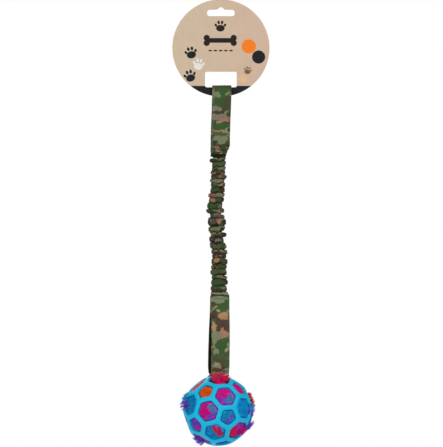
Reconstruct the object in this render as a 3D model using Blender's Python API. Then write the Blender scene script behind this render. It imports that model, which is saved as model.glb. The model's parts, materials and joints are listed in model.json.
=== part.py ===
"""Dog tug toy hanging from its card tag: a strap handle, a gathered bungee, a strap loop and a lattice ball of fur.

Metres, +Z up, the toy's front faces -Y. The origin is the middle of the slot that the tag hangs from.
"""

import math

import bmesh
import bpy
from mathutils import Matrix, Vector

# Clearances
GAP = 0.0003

# Card tag
TAG_DIAMETER = 0.118
CARD_THICKNESS = 0.0008
SLOT_BELOW_TOP = 0.0165
SLOT_LENGTH = 0.0332
SLOT_HEIGHT = 0.0076
SLOT_CORNER = 0.0030
CREST_WIDTH = 0.0124
CREST_RISE = 0.0032
WINDOW_WIDTH = 0.0385
WINDOW_HEIGHT = 0.0188
WINDOW_CORNER = 0.0022
BAR_HEIGHT = 0.0113

# Strap, a flattened tube of fabric, used for the handle and for the loop that holds the ball
STRAP_WIDTH = 0.0234
STRAP_THICKNESS = 0.0022

# Handle loop
HANDLE_HEIGHT = 0.0856
HANDLE_GAP = 0.0120
HANDLE_GAP_HEIGHT = 0.0640
HANDLE_END_WIDTH = 0.0192
HANDLE_END_TAPER = 0.0130
HANDLE_TOP_X = 0.0011
HANDLE_LOW_X = -0.0008
HANDLE_END_X = -0.0030

# Rows of thread that close a strap on itself
TACK_WIDTH = 0.0150
TACK_HEIGHT = 0.0022
TACK_RISE = 0.0007
HANDLE_TACK_TO_END = 0.0118
HEM_TACK_TO_END = 0.0062
LOOP_TACK_TO_TOP = 0.0034

# Gathered sleeve
SLEEVE_LENGTH = 0.1613
SLEEVE_WIDTH = 0.0188
SLEEVE_DEPTH = 0.0134
SLEEVE_X = -0.0020
RUFFLE_LEAN = 0.0012
LEAN_WAVES = 7
CREASE_SHARE = 0.84
SHOULDER_PLACE_SHARE = 0.72
SHOULDER_RISE_SHARE = 0.62

# Elastic band inside the sleeve
ELASTIC_WIDTH = 0.0064
ELASTIC_THICKNESS = 0.0030
BORE_CLEARANCE = 0.0004

# Sewn end of the sleeve
HEM_WIDTH = 0.0212
HEM_HEIGHT = 0.0080
HEM_X = -0.0018

# Loop that holds the ball, with a neck that fits between the ball's ribs
LOOP_HEIGHT = 0.0996
LOOP_SEWN_HEIGHT = 0.0055
LOOP_TOP_X = -0.0014
LOOP_X = -0.0027
NECK_WIDTH = 0.0088
NECK_HEIGHT = 0.0045
NECK_TAPER = 0.0025

# Lattice ball. The reaches are a rounded rib's from its axis, at its middle and beside the loop's neck, and the
# swell how far it stands out of the cage, as shares of half its depth.
BALL_DIAMETER = 0.0848
BALL_X = -0.0035
RIB_WIDTH = 0.0059
RIB_DEPTH = 0.0059
RIB_REACH_SHARE = 1.24
NECK_REACH_SHARE = 1.66
RIB_SWELL_SHARE = 0.58
BALL_TWIST_DEGREES = 17.4
BALL_ROLL_DEGREES = 4.4

# Fur that fills the ball. The pads beside the rib on which the ball hangs leave room for the loop's neck.
CORE_RADIUS = 0.0240
PAD_SHARE = 0.975
HOLE_CLEARANCE = 0.0007
FUR_BULGE = 0.0012
TUFT_REACH = 0.0040
TUFT_NEAR_SHARE = 0.42
NECK_SIDE_SHARE = 0.90
NECK_PAD_SHARE = 0.55
NECK_ASIDE_SHARE = 0.26

# Rings of a pad in its hole: how deep each lies, as a share of the ribs' depth, and its share of the hole.
PAD_RING_SHARES = ((1.00, 1.00), (0.25, 0.96), (-0.10, 0.62))

# Ruffles from the sleeve's top to its foot: where each crest lies down the sleeve, and how far it reaches to
# the left and to the right, as shares of the sleeve's length and of half its width.
RUFFLE_SHARES = (
    (0.018, 1.10, 1.01),
    (0.044, 1.05, 1.03),
    (0.087, 0.87, 0.99),
    (0.121, 0.96, 0.94),
    (0.155, 0.90, 1.11),
    (0.188, 0.97, 0.86),
    (0.253, 0.84, 0.99),
    (0.290, 1.10, 1.01),
    (0.322, 0.93, 0.96),
    (0.369, 1.14, 0.90),
    (0.406, 1.20, 1.14),
    (0.452, 0.78, 1.12),
    (0.487, 1.12, 1.25),
    (0.547, 1.10, 0.86),
    (0.582, 0.78, 1.21),
    (0.616, 1.09, 0.82),
    (0.662, 1.06, 1.07),
    (0.710, 0.96, 1.15),
    (0.746, 0.88, 0.98),
    (0.824, 1.03, 1.01),
    (0.858, 1.12, 1.01),
    (0.916, 1.02, 1.15),
    (0.979, 1.06, 0.98),
)

# How the sleeve sways to the side: places down it, and offsets as shares of half its width.
SWAY_SHARES = (
    (0.00, -0.18),
    (0.15, -0.16),
    (0.29, -0.34),
    (0.40, -0.48),
    (0.51, -0.34),
    (0.62, -0.24),
    (0.74, -0.02),
    (1.00, 0.00),
)

# Colour of the fur behind each hole of the ball's front: the hole's middle, across and up, as shares of the
# ball's radius.
FRONT_FUR_SHARES = (
    (-0.38, 0.59, "orange"),
    (0.23, 0.46, "pink"),
    (-0.31, 0.00, "pink"),
    (0.30, -0.17, "teal"),
    (-0.84, 0.19, "teal"),
    (-0.67, -0.41, "purple"),
    (-0.09, -0.65, "blue"),
    (0.79, 0.09, "blue"),
    (0.59, -0.59, "pink"),
    (0.62, 0.67, "pink"),
    (0.04, 0.93, "pink"),
    (-0.48, -0.86, "orange"),
    (0.16, -0.96, "blue"),
)
FUR_NAMES = ("purple", "teal", "pink", "blue", "orange")

# Where fur stands out of the ball at its sides in a pointed tuft, across and up as above.
TUFT_SHARES = ((-1.00, 0.18), (0.98, -0.28), (-0.52, -0.86))

# Round counts
CIRCLE_STEPS = 96
CORNER_STEPS = 6
FOLD_STEPS = 14
ROUND_STEPS = 8
RING_STEPS = 12

# Colours as linear values, each with its roughness
FINISHES = {
    "card": ((0.61, 0.48, 0.35), 0.75),
    "camouflage": ((0.045, 0.09, 0.03), 0.85),
    "thread": ((0.10, 0.11, 0.05), 0.8),
    "elastic": ((0.02, 0.02, 0.02), 0.7),
    "rubber": ((0.0, 0.42, 0.65), 0.38),
    "core": ((0.10, 0.02, 0.20), 0.95),
    "pink": ((0.72, 0.01, 0.20), 0.95),
    "orange": ((0.85, 0.13, 0.01), 0.95),
    "blue": ((0.0, 0.12, 0.50), 0.95),
    "teal": ((0.0, 0.25, 0.38), 0.95),
    "purple": ((0.16, 0.03, 0.42), 0.95),
}

# Places worked out from the sizes above, down the toy
TAG_RADIUS = TAG_DIAMETER / 2
TAG_CENTRE_Z = SLOT_BELOW_TOP - TAG_RADIUS
BAR_TOP_Z = TAG_CENTRE_Z - TAG_RADIUS + BAR_HEIGHT
FOLD_Z = BAR_TOP_Z + GAP
HANDLE_END_Z = FOLD_Z + STRAP_THICKNESS - HANDLE_HEIGHT
SLEEVE_TOP_Z = HANDLE_END_Z - GAP
SLEEVE_END_Z = SLEEVE_TOP_Z - SLEEVE_LENGTH
HEM_TOP_Z = SLEEVE_END_Z - GAP
HEM_END_Z = HEM_TOP_Z - HEM_HEIGHT
LOOP_TOP_Z = HEM_END_Z - GAP
RIB_AXIS_Z = LOOP_TOP_Z - LOOP_HEIGHT
HANDLE_TACK_Z = HANDLE_END_Z + HANDLE_TACK_TO_END

# The ball's turn from a rib that lies square across its top, and its cage: the middles of its ribs lie along the
# sides of a truncated icosahedron
TWIST = math.radians(BALL_TWIST_DEGREES)
ROLL = math.radians(BALL_ROLL_DEGREES)
BALL_TURN = Matrix.Rotation(TWIST, 3, "Z") @ Matrix.Rotation(-ROLL, 3, "Y")
CAGE_RADIUS = (BALL_DIAMETER - RIB_SWELL_SHARE * RIB_DEPTH) / 2
CAGE_SIDE_SHARE = 4 / math.sqrt(58 + 18 * math.sqrt(5))
RIB_MIDDLE_RADIUS = CAGE_RADIUS * math.sqrt(1 - CAGE_SIDE_SHARE**2 / 4)
BALL_TO_RIB = BALL_TURN @ Vector((0, 0, RIB_MIDDLE_RADIUS))
BALL_CENTRE = Vector((BALL_X, -BALL_TO_RIB.y, RIB_AXIS_Z - BALL_TO_RIB.z))
RIB_X = BALL_X + BALL_TO_RIB.x
FOLD_RADIUS = NECK_REACH_SHARE * max(RIB_WIDTH, RIB_DEPTH) / 2 + GAP

# Where each moving piece turns: the card's bar, the round ends of the handle and of the hem, and the ball's rib
HANDLE_PIVOT = Vector((0, 0, BAR_TOP_Z))
BUNGEE_PIVOT = Vector((0, 0, HANDLE_END_Z + STRAP_THICKNESS))
HEM_PIVOT = Vector((HEM_X, 0, HEM_TOP_Z))
LOOP_PIVOT = Vector((0, 0, HEM_END_Z + STRAP_THICKNESS))
BALL_PIVOT = Vector((RIB_X, 0, RIB_AXIS_Z))


def smooth(low, high, value):
    """0 below low, 1 above high, and a smooth step between them."""
    share = min(max((value - low) / (high - low), 0), 1)
    return share * share * (3 - 2 * share)


def between(table, place):
    """The value at a place in a table of (place, value), on smooth steps between its rows."""
    for (low, start), (high, end) in zip(table, table[1:]):
        if place <= high:
            return start + (end - start) * smooth(low, high, place)
    return table[-1][1]


def add_object(name, data, finish):
    """An object from its mesh or curve, with a material of its own."""
    colour, roughness = FINISHES[finish]
    own = bpy.data.materials.new(name)
    own.use_nodes = True
    own.diffuse_color = (*colour, 1)
    shader = own.node_tree.nodes["Principled BSDF"]
    shader.inputs["Base Color"].default_value = (*colour, 1)
    shader.inputs["Roughness"].default_value = roughness
    shader.inputs["Metallic"].default_value = 0
    data.materials.append(own)
    made = bpy.data.objects.new(name, data)
    bpy.context.collection.objects.link(made)
    return made


def add_mesh(name, shape, finish, rounded=False):
    """An object from a bmesh, with its faces turned outward."""
    bmesh.ops.recalc_face_normals(shape, faces=shape.faces)
    mesh = bpy.data.meshes.new(name)
    shape.to_mesh(mesh)
    shape.free()
    if rounded:
        mesh.shade_smooth()
    return add_object(name, mesh, finish)


def add_plate(name, outlines, thickness, finish):
    """A flat plate from its outer outline and the outlines of its holes, lying in its own XY plane."""
    curve = bpy.data.curves.new(name, "CURVE")
    curve.dimensions = "2D"
    curve.fill_mode = "BOTH"
    curve.extrude = thickness / 2
    for outline in outlines:
        spline = curve.splines.new("POLY")
        spline.points.add(len(outline) - 1)
        for point, (across, up) in zip(spline.points, outline):
            point.co = (across, up, 0, 1)
        spline.use_cyclic_u = True
    return add_object(name, curve, finish)


def attach(piece, carrier):
    """Parents a piece that already lies in its place in the toy."""
    bpy.context.view_layer.update()
    piece.parent = carrier
    piece.matrix_parent_inverse = carrier.matrix_world.inverted()


def add_pivot(name, place, carrier, pieces):
    """An empty on a joint's axis, carried by the piece above, with the pieces that move with it."""
    pivot = bpy.data.objects.new(name, None)
    bpy.context.collection.objects.link(pivot)
    pivot.location = place
    attach(pivot, carrier)
    for piece in pieces:
        attach(piece, pivot)
    return pivot


def arc(centre, radius, start, end, steps):
    """Points on an arc, in degrees counter-clockwise from +X."""
    angles = [math.radians(start + (end - start) * step / steps) for step in range(steps + 1)]
    return [(centre[0] + radius * math.cos(a), centre[1] + radius * math.sin(a)) for a in angles]


def rounded_rectangle(width, height, corner, crest=()):
    """A rectangle with round corners about the origin, with any crest's points set into its top edge."""
    x, y = width / 2 - corner, height / 2 - corner
    return (
        arc((x, y), corner, 0, 90, CORNER_STEPS)
        + list(crest)
        + arc((-x, y), corner, 90, 180, CORNER_STEPS)
        + arc((-x, -y), corner, 180, 270, CORNER_STEPS)
        + arc((x, -y), corner, 270, 360, CORNER_STEPS)
    )


def slot_crest():
    """The bell-shaped rise in the middle of the slot's top edge, right to left."""
    points = []
    for step in range(1, 2 * CORNER_STEPS):
        share = 1 - step / CORNER_STEPS
        rise = CREST_RISE * (1 + math.cos(math.pi * share)) / 2
        points.append((share * CREST_WIDTH / 2, SLOT_HEIGHT / 2 + rise))
    return points


def hang_tag():
    """A round card with a slot to hang it by, and a window whose lower edge is the bar that holds the handle."""
    disc = arc((0, TAG_CENTRE_Z), TAG_RADIUS, 0, 360, CIRCLE_STEPS)[:-1]
    slot = rounded_rectangle(SLOT_LENGTH, SLOT_HEIGHT, SLOT_CORNER, slot_crest())
    middle = BAR_TOP_Z + WINDOW_HEIGHT / 2
    window = [(x, y + middle) for x, y in rounded_rectangle(WINDOW_WIDTH, WINDOW_HEIGHT, WINDOW_CORNER)]
    tag = add_plate("hang_tag", (disc, slot, window), CARD_THICKNESS, "card")
    tag.rotation_euler.x = math.pi / 2
    return tag


def outward(points):
    """Unit normals of an open run of points, on its right."""
    normals = []
    for index in range(len(points)):
        before, after = points[max(index - 1, 0)], points[min(index + 1, len(points) - 1)]
        along = Vector((after[0] - before[0], after[1] - before[1])).normalized()
        normals.append(Vector((along.y, -along.x)))
    return normals


def strap_loop(name, side, end, place):
    """A strap folded round a gap and sewn to itself.

    side is half of the gap's outline, (across, along) from the middle of the fold to where the gap closes, and
    end half of the sewn end's outline beyond that. place puts (across, along, edge) in the toy, where edge runs
    from -1 to 1 across the strap's width.
    """
    normals = outward(side)
    normals[0], normals[-1] = Vector((0, -1)), Vector((1, 0))
    skin = [Vector(point) + normal * STRAP_THICKNESS for point, normal in zip(side, normals)]
    shape = bmesh.new()

    def verts(points, mirrored):
        turn = -1 if mirrored else 1
        return [shape.verts.new((turn * point[0], point[1], -1)) for point in points]

    fold, close, fold_skin = verts((side[0], side[-1], skin[0]), False)
    halves = []
    for mirrored in (False, True):
        inner = [fold, *verts(side[1:-1], mirrored), close]
        outer = [fold_skin, *verts(skin[1:], mirrored)]
        for k in range(len(inner) - 1):
            shape.faces.new((inner[k], inner[k + 1], outer[k + 1], outer[k]))
        halves.append([outer[-1], *verts(end[:-1], mirrored)])
    tip = verts(end[-1:], False)
    shape.faces.new((close, *halves[0], *tip, *reversed(halves[1])))
    made = bmesh.ops.extrude_face_region(shape, geom=list(shape.faces), use_keep_orig=True)
    for vert in made["geom"]:
        if isinstance(vert, bmesh.types.BMVert):
            vert.co.z = 1
    for vert in shape.verts:
        vert.co = place(*vert.co)
    return add_mesh(name, shape, "camouflage")


def handle_middle(z):
    """Where the handle's middle lies across the toy at a height."""
    narrow_z = HANDLE_END_Z + HANDLE_END_TAPER
    low = HANDLE_TOP_X + (HANDLE_LOW_X - HANDLE_TOP_X) * smooth(-FOLD_Z, -narrow_z, -z)
    return low + (HANDLE_END_X - HANDLE_LOW_X) * smooth(-narrow_z, -HANDLE_END_Z, -z)


def handle_loop():
    """The gap is a teardrop with its round end over the card's bar."""
    side = []
    for step in range(FOLD_STEPS + 1):
        share = (step / FOLD_STEPS) ** 2
        # The curve's own widest place is at a quarter of its length.
        bulge = math.sqrt(share / 0.25) * ((1 - share) / 0.75) ** 1.5
        side.append((bulge * HANDLE_GAP / 2, HANDLE_GAP_HEIGHT * share))
    tip = HANDLE_HEIGHT - STRAP_THICKNESS
    end = arc((0, tip - STRAP_THICKNESS), STRAP_THICKNESS, 0, 90, ROUND_STEPS)

    def place(across, along, edge):
        """Narrower where it is gathered into the sleeve."""
        z = FOLD_Z - along
        narrow = smooth(-HANDLE_END_Z - HANDLE_END_TAPER, -HANDLE_END_Z, -z)
        width = STRAP_WIDTH + (HANDLE_END_WIDTH - STRAP_WIDTH) * narrow
        return (handle_middle(z) + edge * width / 2, across, z)

    return strap_loop("handle_loop", side, end, place)


def tack_rows(name, middle_x, z):
    """A bar of close stitches on the front of a sewn strap and another on its back."""
    rows = []
    for side, facing in (("front", -1), ("back", 1)):
        shape = bmesh.new()
        bmesh.ops.create_cube(shape, size=1)
        bmesh.ops.scale(shape, vec=(TACK_WIDTH, TACK_RISE, TACK_HEIGHT), verts=shape.verts)
        tack = add_mesh(f"{name}_{side}", shape, "thread")
        tack.location = (middle_x, facing * (STRAP_THICKNESS + GAP + TACK_RISE / 2), z)
        rows.append(tack)
    return rows


def sleeve_middle(place):
    """Where the sleeve's middle lies across the toy, at a share of the way down it."""
    return SLEEVE_X + between(SWAY_SHARES, place) * SLEEVE_WIDTH / 2


def ruffle_rows():
    """(place, left, right) of each ring: a crease, a shoulder, a crest and a shoulder for each ruffle."""
    crests = [row[0] for row in RUFFLE_SHARES]
    creases = [0.0, *((upper + lower) / 2 for upper, lower in zip(crests, crests[1:])), 1.0]
    rows = []
    for (crest, left, right), above, below in zip(RUFFLE_SHARES, creases, creases[1:]):
        upper = crest + (above - crest) * SHOULDER_PLACE_SHARE
        lower = crest + (below - crest) * SHOULDER_PLACE_SHARE
        for place, rise in ((above, 0), (upper, SHOULDER_RISE_SHARE), (crest, 1), (lower, SHOULDER_RISE_SHARE)):
            reach = CREASE_SHARE + (1 - CREASE_SHARE) * rise
            rows.append((place, left * reach, right * reach))
    rows.append((creases[-1], left * CREASE_SHARE, right * CREASE_SHARE))
    return rows


def ring_round(place, left, right, depth, lean=0.0):
    """A ring of points round the sleeve's middle, from its reach to the left, the right and the front."""
    points = []
    for step in range(RING_STEPS):
        angle = 2 * math.pi * step / RING_STEPS
        reach = (right + left) / 2 + (right - left) / 2 * math.cos(angle)
        x = sleeve_middle(place) + reach * math.cos(angle)
        z = SLEEVE_TOP_Z - place * SLEEVE_LENGTH + lean * math.cos(angle)
        points.append((x, depth * math.sin(angle), z))
    return points


def join_rings(shape, rings, closed=False):
    """Walls of quads from each ring of vertices to the next, and round to the first if closed."""
    following = rings[1:] + rings[:1] if closed else rings[1:]
    for ring, onward in zip(rings, following):
        for k in range(len(ring)):
            beside = (k + 1) % len(ring)
            shape.faces.new((ring[k], ring[beside], onward[beside], onward[k]))


def bungee_sleeve():
    """A gathered tube of fabric with a plain bore for the elastic."""
    rings = []
    for place, left, right in ruffle_rows():
        depth = (left + right) / 2 * SLEEVE_DEPTH / 2
        lean = RUFFLE_LEAN * math.sin(2 * math.pi * LEAN_WAVES * place)
        rings.append(ring_round(place, left * SLEEVE_WIDTH / 2, right * SLEEVE_WIDTH / 2, depth, lean))
    # An ellipse round a rectangle is wider than it by the square root of 2.
    bore_width = math.sqrt(2) * (ELASTIC_WIDTH / 2 + BORE_CLEARANCE)
    bore_depth = math.sqrt(2) * (ELASTIC_THICKNESS / 2 + BORE_CLEARANCE)
    for place, _ in reversed(SWAY_SHARES):
        rings.append(ring_round(place, bore_width, bore_width, bore_depth))
    shape = bmesh.new()
    join_rings(shape, [[shape.verts.new(point) for point in ring] for ring in rings], closed=True)
    return add_mesh("bungee_sleeve", shape, "camouflage", rounded=True)


def bungee_elastic():
    """A flat band of elastic that follows the sleeve's bore."""
    shape = bmesh.new()
    rows = []
    half_width, half_thickness = ELASTIC_WIDTH / 2, ELASTIC_THICKNESS / 2
    for place, _ in SWAY_SHARES:
        middle_x, z = sleeve_middle(place), SLEEVE_TOP_Z - place * SLEEVE_LENGTH
        corners = ((-1, -1), (1, -1), (1, 1), (-1, 1))
        rows.append([shape.verts.new((middle_x + x * half_width, y * half_thickness, z)) for x, y in corners])
    join_rings(shape, rows)
    shape.faces.new(rows[0])
    shape.faces.new(rows[-1])
    return add_mesh("bungee_elastic", shape, "elastic")


def sleeve_hem():
    """The sleeve's foot, sewn flat, with a round end for the loop below to turn about."""
    half = STRAP_THICKNESS
    round_end = arc((0, HEM_END_Z + half), half, 360, 180, 2 * ROUND_STEPS)
    hem = add_plate("sleeve_hem", [[(half, HEM_TOP_Z), *round_end, (-half, HEM_TOP_Z)]], HEM_WIDTH, "camouflage")
    hem.rotation_euler = (math.pi / 2, 0, math.pi / 2)
    hem.location.x = HEM_X
    return hem


def ball_loop():
    """The gap goes round the rib on which the ball hangs, and closes slowly above it."""
    side = []
    for step in range(ROUND_STEPS):
        angle = math.pi / 2 * step / ROUND_STEPS
        side.append((FOLD_RADIUS * math.sin(angle), -FOLD_RADIUS * math.cos(angle)))
    for step in range(2 * FOLD_STEPS + 1):
        share = (step / (2 * FOLD_STEPS)) ** 1.5
        side.append((FOLD_RADIUS * (1 - share**3), (LOOP_HEIGHT - LOOP_SEWN_HEIGHT) * share))
    end = [(STRAP_THICKNESS, LOOP_HEIGHT), (0, LOOP_HEIGHT)]

    def place(across, along, edge):
        """Turned with the rib at the ball, and square to the front at the top."""
        widen = smooth(NECK_HEIGHT, NECK_HEIGHT + NECK_TAPER, along)
        over = edge * (NECK_WIDTH + (STRAP_WIDTH - NECK_WIDTH) * widen) / 2
        twist = TWIST * (1 - smooth(LOOP_HEIGHT / 2, LOOP_HEIGHT, along))
        slope = math.tan(ROLL) * (1 - smooth(0, LOOP_HEIGHT / 2, along))
        strap_x = LOOP_X + (LOOP_TOP_X - LOOP_X) * smooth(0, LOOP_HEIGHT, along)
        middle = RIB_X + (strap_x - RIB_X) * smooth(NECK_HEIGHT, 3 * NECK_HEIGHT, along)
        x = middle + over * math.cos(twist) - across * math.sin(twist)
        y = over * math.sin(twist) + across * math.cos(twist)
        return (x, y, RIB_AXIS_Z + along + over * slope)

    return strap_loop("ball_loop", side, end, place)


def cage():
    """A truncated icosahedron about the origin, with a side between a hexagon and a pentagon on top of it.

    The hexagon lies in front, before the ball's own twist and roll.
    """
    shape = bmesh.new()
    bmesh.ops.create_icosphere(shape, subdivisions=1, radius=1)
    geometry = list(shape.verts) + list(shape.edges)
    bmesh.ops.bevel(shape, geom=geometry, offset=100 / 3, offset_type="PERCENT", affect="VERTICES", segments=1)
    rib = next(edge for edge in shape.edges if {len(face.verts) for face in edge.link_faces} == {5, 6})
    hexagon = next(face for face in rib.link_faces if len(face.verts) == 6)
    up = (rib.verts[0].co + rib.verts[1].co).normalized()
    front = hexagon.calc_center_median()
    back = (up * front.dot(up) - front).normalized()
    turn = BALL_TURN @ Matrix((back.cross(up), back, up))
    for vert in shape.verts:
        vert.co = CAGE_RADIUS * (turn @ vert.co).normalized()
    shape.normal_update()
    return shape


def lattice_ball():
    """Round ribs along the sides of the cage, and a hole in each of its faces."""
    shape = cage()
    holes = list(shape.faces)
    bmesh.ops.inset_individual(shape, faces=holes, thickness=RIB_WIDTH / 2, use_even_offset=True)
    bmesh.ops.delete(shape, geom=holes, context="FACES_ONLY")
    ball = add_mesh("lattice_ball", shape, "rubber", rounded=True)
    ball.location = BALL_CENTRE
    wall = ball.modifiers.new("wall", "SOLIDIFY")
    wall.thickness = RIB_DEPTH
    wall.offset = 0
    round_off = ball.modifiers.new("round_off", "SUBSURF")
    round_off.levels = round_off.render_levels = 1
    return ball


def fur_name(way):
    """The fur behind a hole that faces this unit direction: by hand in front, and in turn behind."""
    if way.y < 0:
        return min((math.hypot(way.x - across, way.z - up), name) for across, up, name in FRONT_FUR_SHARES)[1]
    turn = math.atan2(way.z, way.x) / math.tau + 0.5
    return FUR_NAMES[int(len(FUR_NAMES) * turn) % len(FUR_NAMES)]


def fur_pad(face):
    """A pad of fur that fills a face's share of the ball and swells into its hole."""
    shape = bmesh.new()
    middle = face.calc_center_median()
    way = middle.normalized()
    corners = [vert.co for vert in face.verts]
    rim = []
    for corner, following in zip(corners, corners[1:] + corners[:1]):
        rim += [corner, (corner + following) / 2]
    to_side = (rim[1] - middle).length
    hole_radius = to_side - RIB_WIDTH / 2 - HOLE_CLEARANCE
    shoulder, aside = RIB_MIDDLE_RADIUS - RIB_REACH_SHARE * RIB_DEPTH / 2, Vector()
    rib_way = BALL_TO_RIB.normalized()
    if way.dot(rib_way) > NECK_SIDE_SHARE:
        shoulder = RIB_MIDDLE_RADIUS - FOLD_RADIUS - STRAP_THICKNESS
        hole_radius *= NECK_PAD_SHARE
        aside = (way - rib_way).normalized() * to_side * NECK_ASIDE_SHARE
    spread = [(middle + (point - middle) * PAD_SHARE).normalized() for point in rim]
    # The foot's flat faces clear the round heart in their middles too.
    foot = (CORE_RADIUS + GAP) / math.cos(way.angle(spread[0]) / 2)
    rings = [[point * radius for point in spread] for radius in (foot, shoulder - GAP)]
    top = middle.length + RIB_DEPTH / 2
    for depth, width in PAD_RING_SHARES:
        centre = way * (top - RIB_DEPTH * depth) + aside
        rings.append([centre + (point - middle).normalized() * hole_radius * width for point in rim])
    tip = way * (top + FUR_BULGE) + aside
    if any((way - Vector((across, 0, up))).length < TUFT_NEAR_SHARE for across, up in TUFT_SHARES):
        tip += way * TUFT_REACH
    rings = [[shape.verts.new(point) for point in ring] for ring in rings]
    join_rings(shape, rings)
    for ring, end in ((rings[0], way * foot), (rings[-1], tip)):
        point = shape.verts.new(end)
        for k in range(len(ring)):
            shape.faces.new((ring[k], ring[(k + 1) % len(ring)], point))
    return shape


def fur():
    """A round heart, and a pad of fur packed between it and the ribs behind each hole, numbered by colour."""
    heart = bmesh.new()
    bmesh.ops.create_icosphere(heart, subdivisions=3, radius=CORE_RADIUS)
    pieces = [add_mesh("fur_core", heart, "core", rounded=True)]
    counts = dict.fromkeys(FUR_NAMES, 0)
    holes = cage()
    for face in holes.faces:
        name = fur_name(face.calc_center_median().normalized())
        counts[name] += 1
        pieces.append(add_mesh(f"fur_{name}_{counts[name]}", fur_pad(face), name, rounded=True))
    holes.free()
    for piece in pieces:
        piece.location = BALL_CENTRE
    return pieces


def main():
    for old in list(bpy.data.objects):
        bpy.data.objects.remove(old)
    carrier = hang_tag()
    handle_tack = tack_rows("handle_tack", handle_middle(HANDLE_TACK_Z), HANDLE_TACK_Z)
    hem_tack = tack_rows("hem_tack", HEM_X, HEM_END_Z + HEM_TACK_TO_END)
    loop_tack = tack_rows("loop_tack", LOOP_TOP_X, LOOP_TOP_Z - LOOP_TACK_TO_TOP)
    for name, place, pieces in (
        ("handle_pivot", HANDLE_PIVOT, (handle_loop(), *handle_tack)),
        ("bungee_pivot", BUNGEE_PIVOT, (bungee_sleeve(), bungee_elastic())),
        ("hem_pivot", HEM_PIVOT, (sleeve_hem(), *hem_tack)),
        ("loop_pivot", LOOP_PIVOT, (ball_loop(), *loop_tack)),
        ("ball_pivot", BALL_PIVOT, (lattice_ball(), *fur())),
    ):
        carrier = add_pivot(name, place, carrier, pieces)


main()
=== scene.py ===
"""The looks of a dog tug toy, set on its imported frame.

A kraft card carries a camouflage strap handle. A gathered sleeve, a hem and a strap loop hang from it. The
loop holds a lattice ball that is filled with long-pile fur. Everything is in metres, with the front at -Y.
"""
import json
import math
import random

import bmesh
import bpy
from mathutils import Matrix, Vector, noise

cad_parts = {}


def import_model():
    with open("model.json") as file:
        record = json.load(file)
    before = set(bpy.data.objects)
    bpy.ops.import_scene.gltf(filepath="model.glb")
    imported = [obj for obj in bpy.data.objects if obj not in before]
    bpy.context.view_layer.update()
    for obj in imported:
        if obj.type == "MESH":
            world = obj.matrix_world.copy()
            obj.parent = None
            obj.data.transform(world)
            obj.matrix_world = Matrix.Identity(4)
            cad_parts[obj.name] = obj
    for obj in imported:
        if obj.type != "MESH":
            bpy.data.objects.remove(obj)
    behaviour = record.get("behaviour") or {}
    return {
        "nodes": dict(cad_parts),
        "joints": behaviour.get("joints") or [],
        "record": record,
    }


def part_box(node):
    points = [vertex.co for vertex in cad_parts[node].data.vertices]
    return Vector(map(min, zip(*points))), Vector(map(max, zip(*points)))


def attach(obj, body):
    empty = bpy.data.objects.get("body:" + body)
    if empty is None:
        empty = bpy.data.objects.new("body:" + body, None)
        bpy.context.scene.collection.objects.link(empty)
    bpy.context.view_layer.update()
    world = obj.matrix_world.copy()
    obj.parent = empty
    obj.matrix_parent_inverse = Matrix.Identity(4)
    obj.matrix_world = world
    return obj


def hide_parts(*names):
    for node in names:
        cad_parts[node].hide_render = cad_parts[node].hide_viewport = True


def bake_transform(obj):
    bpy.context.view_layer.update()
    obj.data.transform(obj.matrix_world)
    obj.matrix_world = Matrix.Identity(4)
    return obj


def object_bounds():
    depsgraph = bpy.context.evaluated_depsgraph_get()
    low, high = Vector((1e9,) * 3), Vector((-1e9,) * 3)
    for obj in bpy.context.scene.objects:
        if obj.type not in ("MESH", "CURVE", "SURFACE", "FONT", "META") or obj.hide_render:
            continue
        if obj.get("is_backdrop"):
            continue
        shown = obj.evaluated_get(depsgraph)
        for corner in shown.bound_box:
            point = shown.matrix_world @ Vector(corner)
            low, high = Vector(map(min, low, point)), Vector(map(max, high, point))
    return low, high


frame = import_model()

CAD_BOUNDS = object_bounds()
MM = 0.001

# The photograph: its size in pixels, metres to a pixel, and the pixel that shows the middle of the peg slot
PHOTO_WIDTH = 443
PHOTO_HEIGHT = 447
PIXEL = 1.214 * MM
SLOT_U = 220.9
SLOT_V = 12.99

# The straps, as they are made
STRAP_WIDTH = 23.4 * MM
STRAP_THICKNESS = 2.2 * MM
# The share of its thickness that a strap loses where it is sewn in
END_THINNING = 0.4
PLY_GAP = 0.05 * MM
HANDLE_GAP = 12.0 * MM
HANDLE_GAP_HEIGHT = 64.0 * MM
HANDLE_END_WIDTH = 19.2 * MM
HANDLE_END_TAPER = 13.0 * MM
HANDLE_TOP_X = 1.1 * MM
HANDLE_LOW_X = -0.8 * MM
HANDLE_END_X = -3.0 * MM
LOOP_SEWN_HEIGHT = 5.5 * MM
LOOP_TOP_X = -1.4 * MM
LOOP_X = -2.7 * MM
NECK_WIDTH = 8.8 * MM
NECK_HEIGHT = 2.2 * MM
NECK_HEIGHT_BEHIND = 3.2 * MM
NECK_TAPER = 3.0 * MM
FOLD_RADIUS = 5.2 * MM
TACK_WIDTH = 15.0 * MM

# The ball's lattice: how its cage is turned, how far out its corners lie, and its ribs
BALL_TWIST = math.radians(17.4)
BALL_ROLL = math.radians(4.4)
CAGE_RADIUS = 40.69 * MM
RIB_WIDTH = 5.9 * MM
RIB_DEPTH = 5.9 * MM

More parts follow.
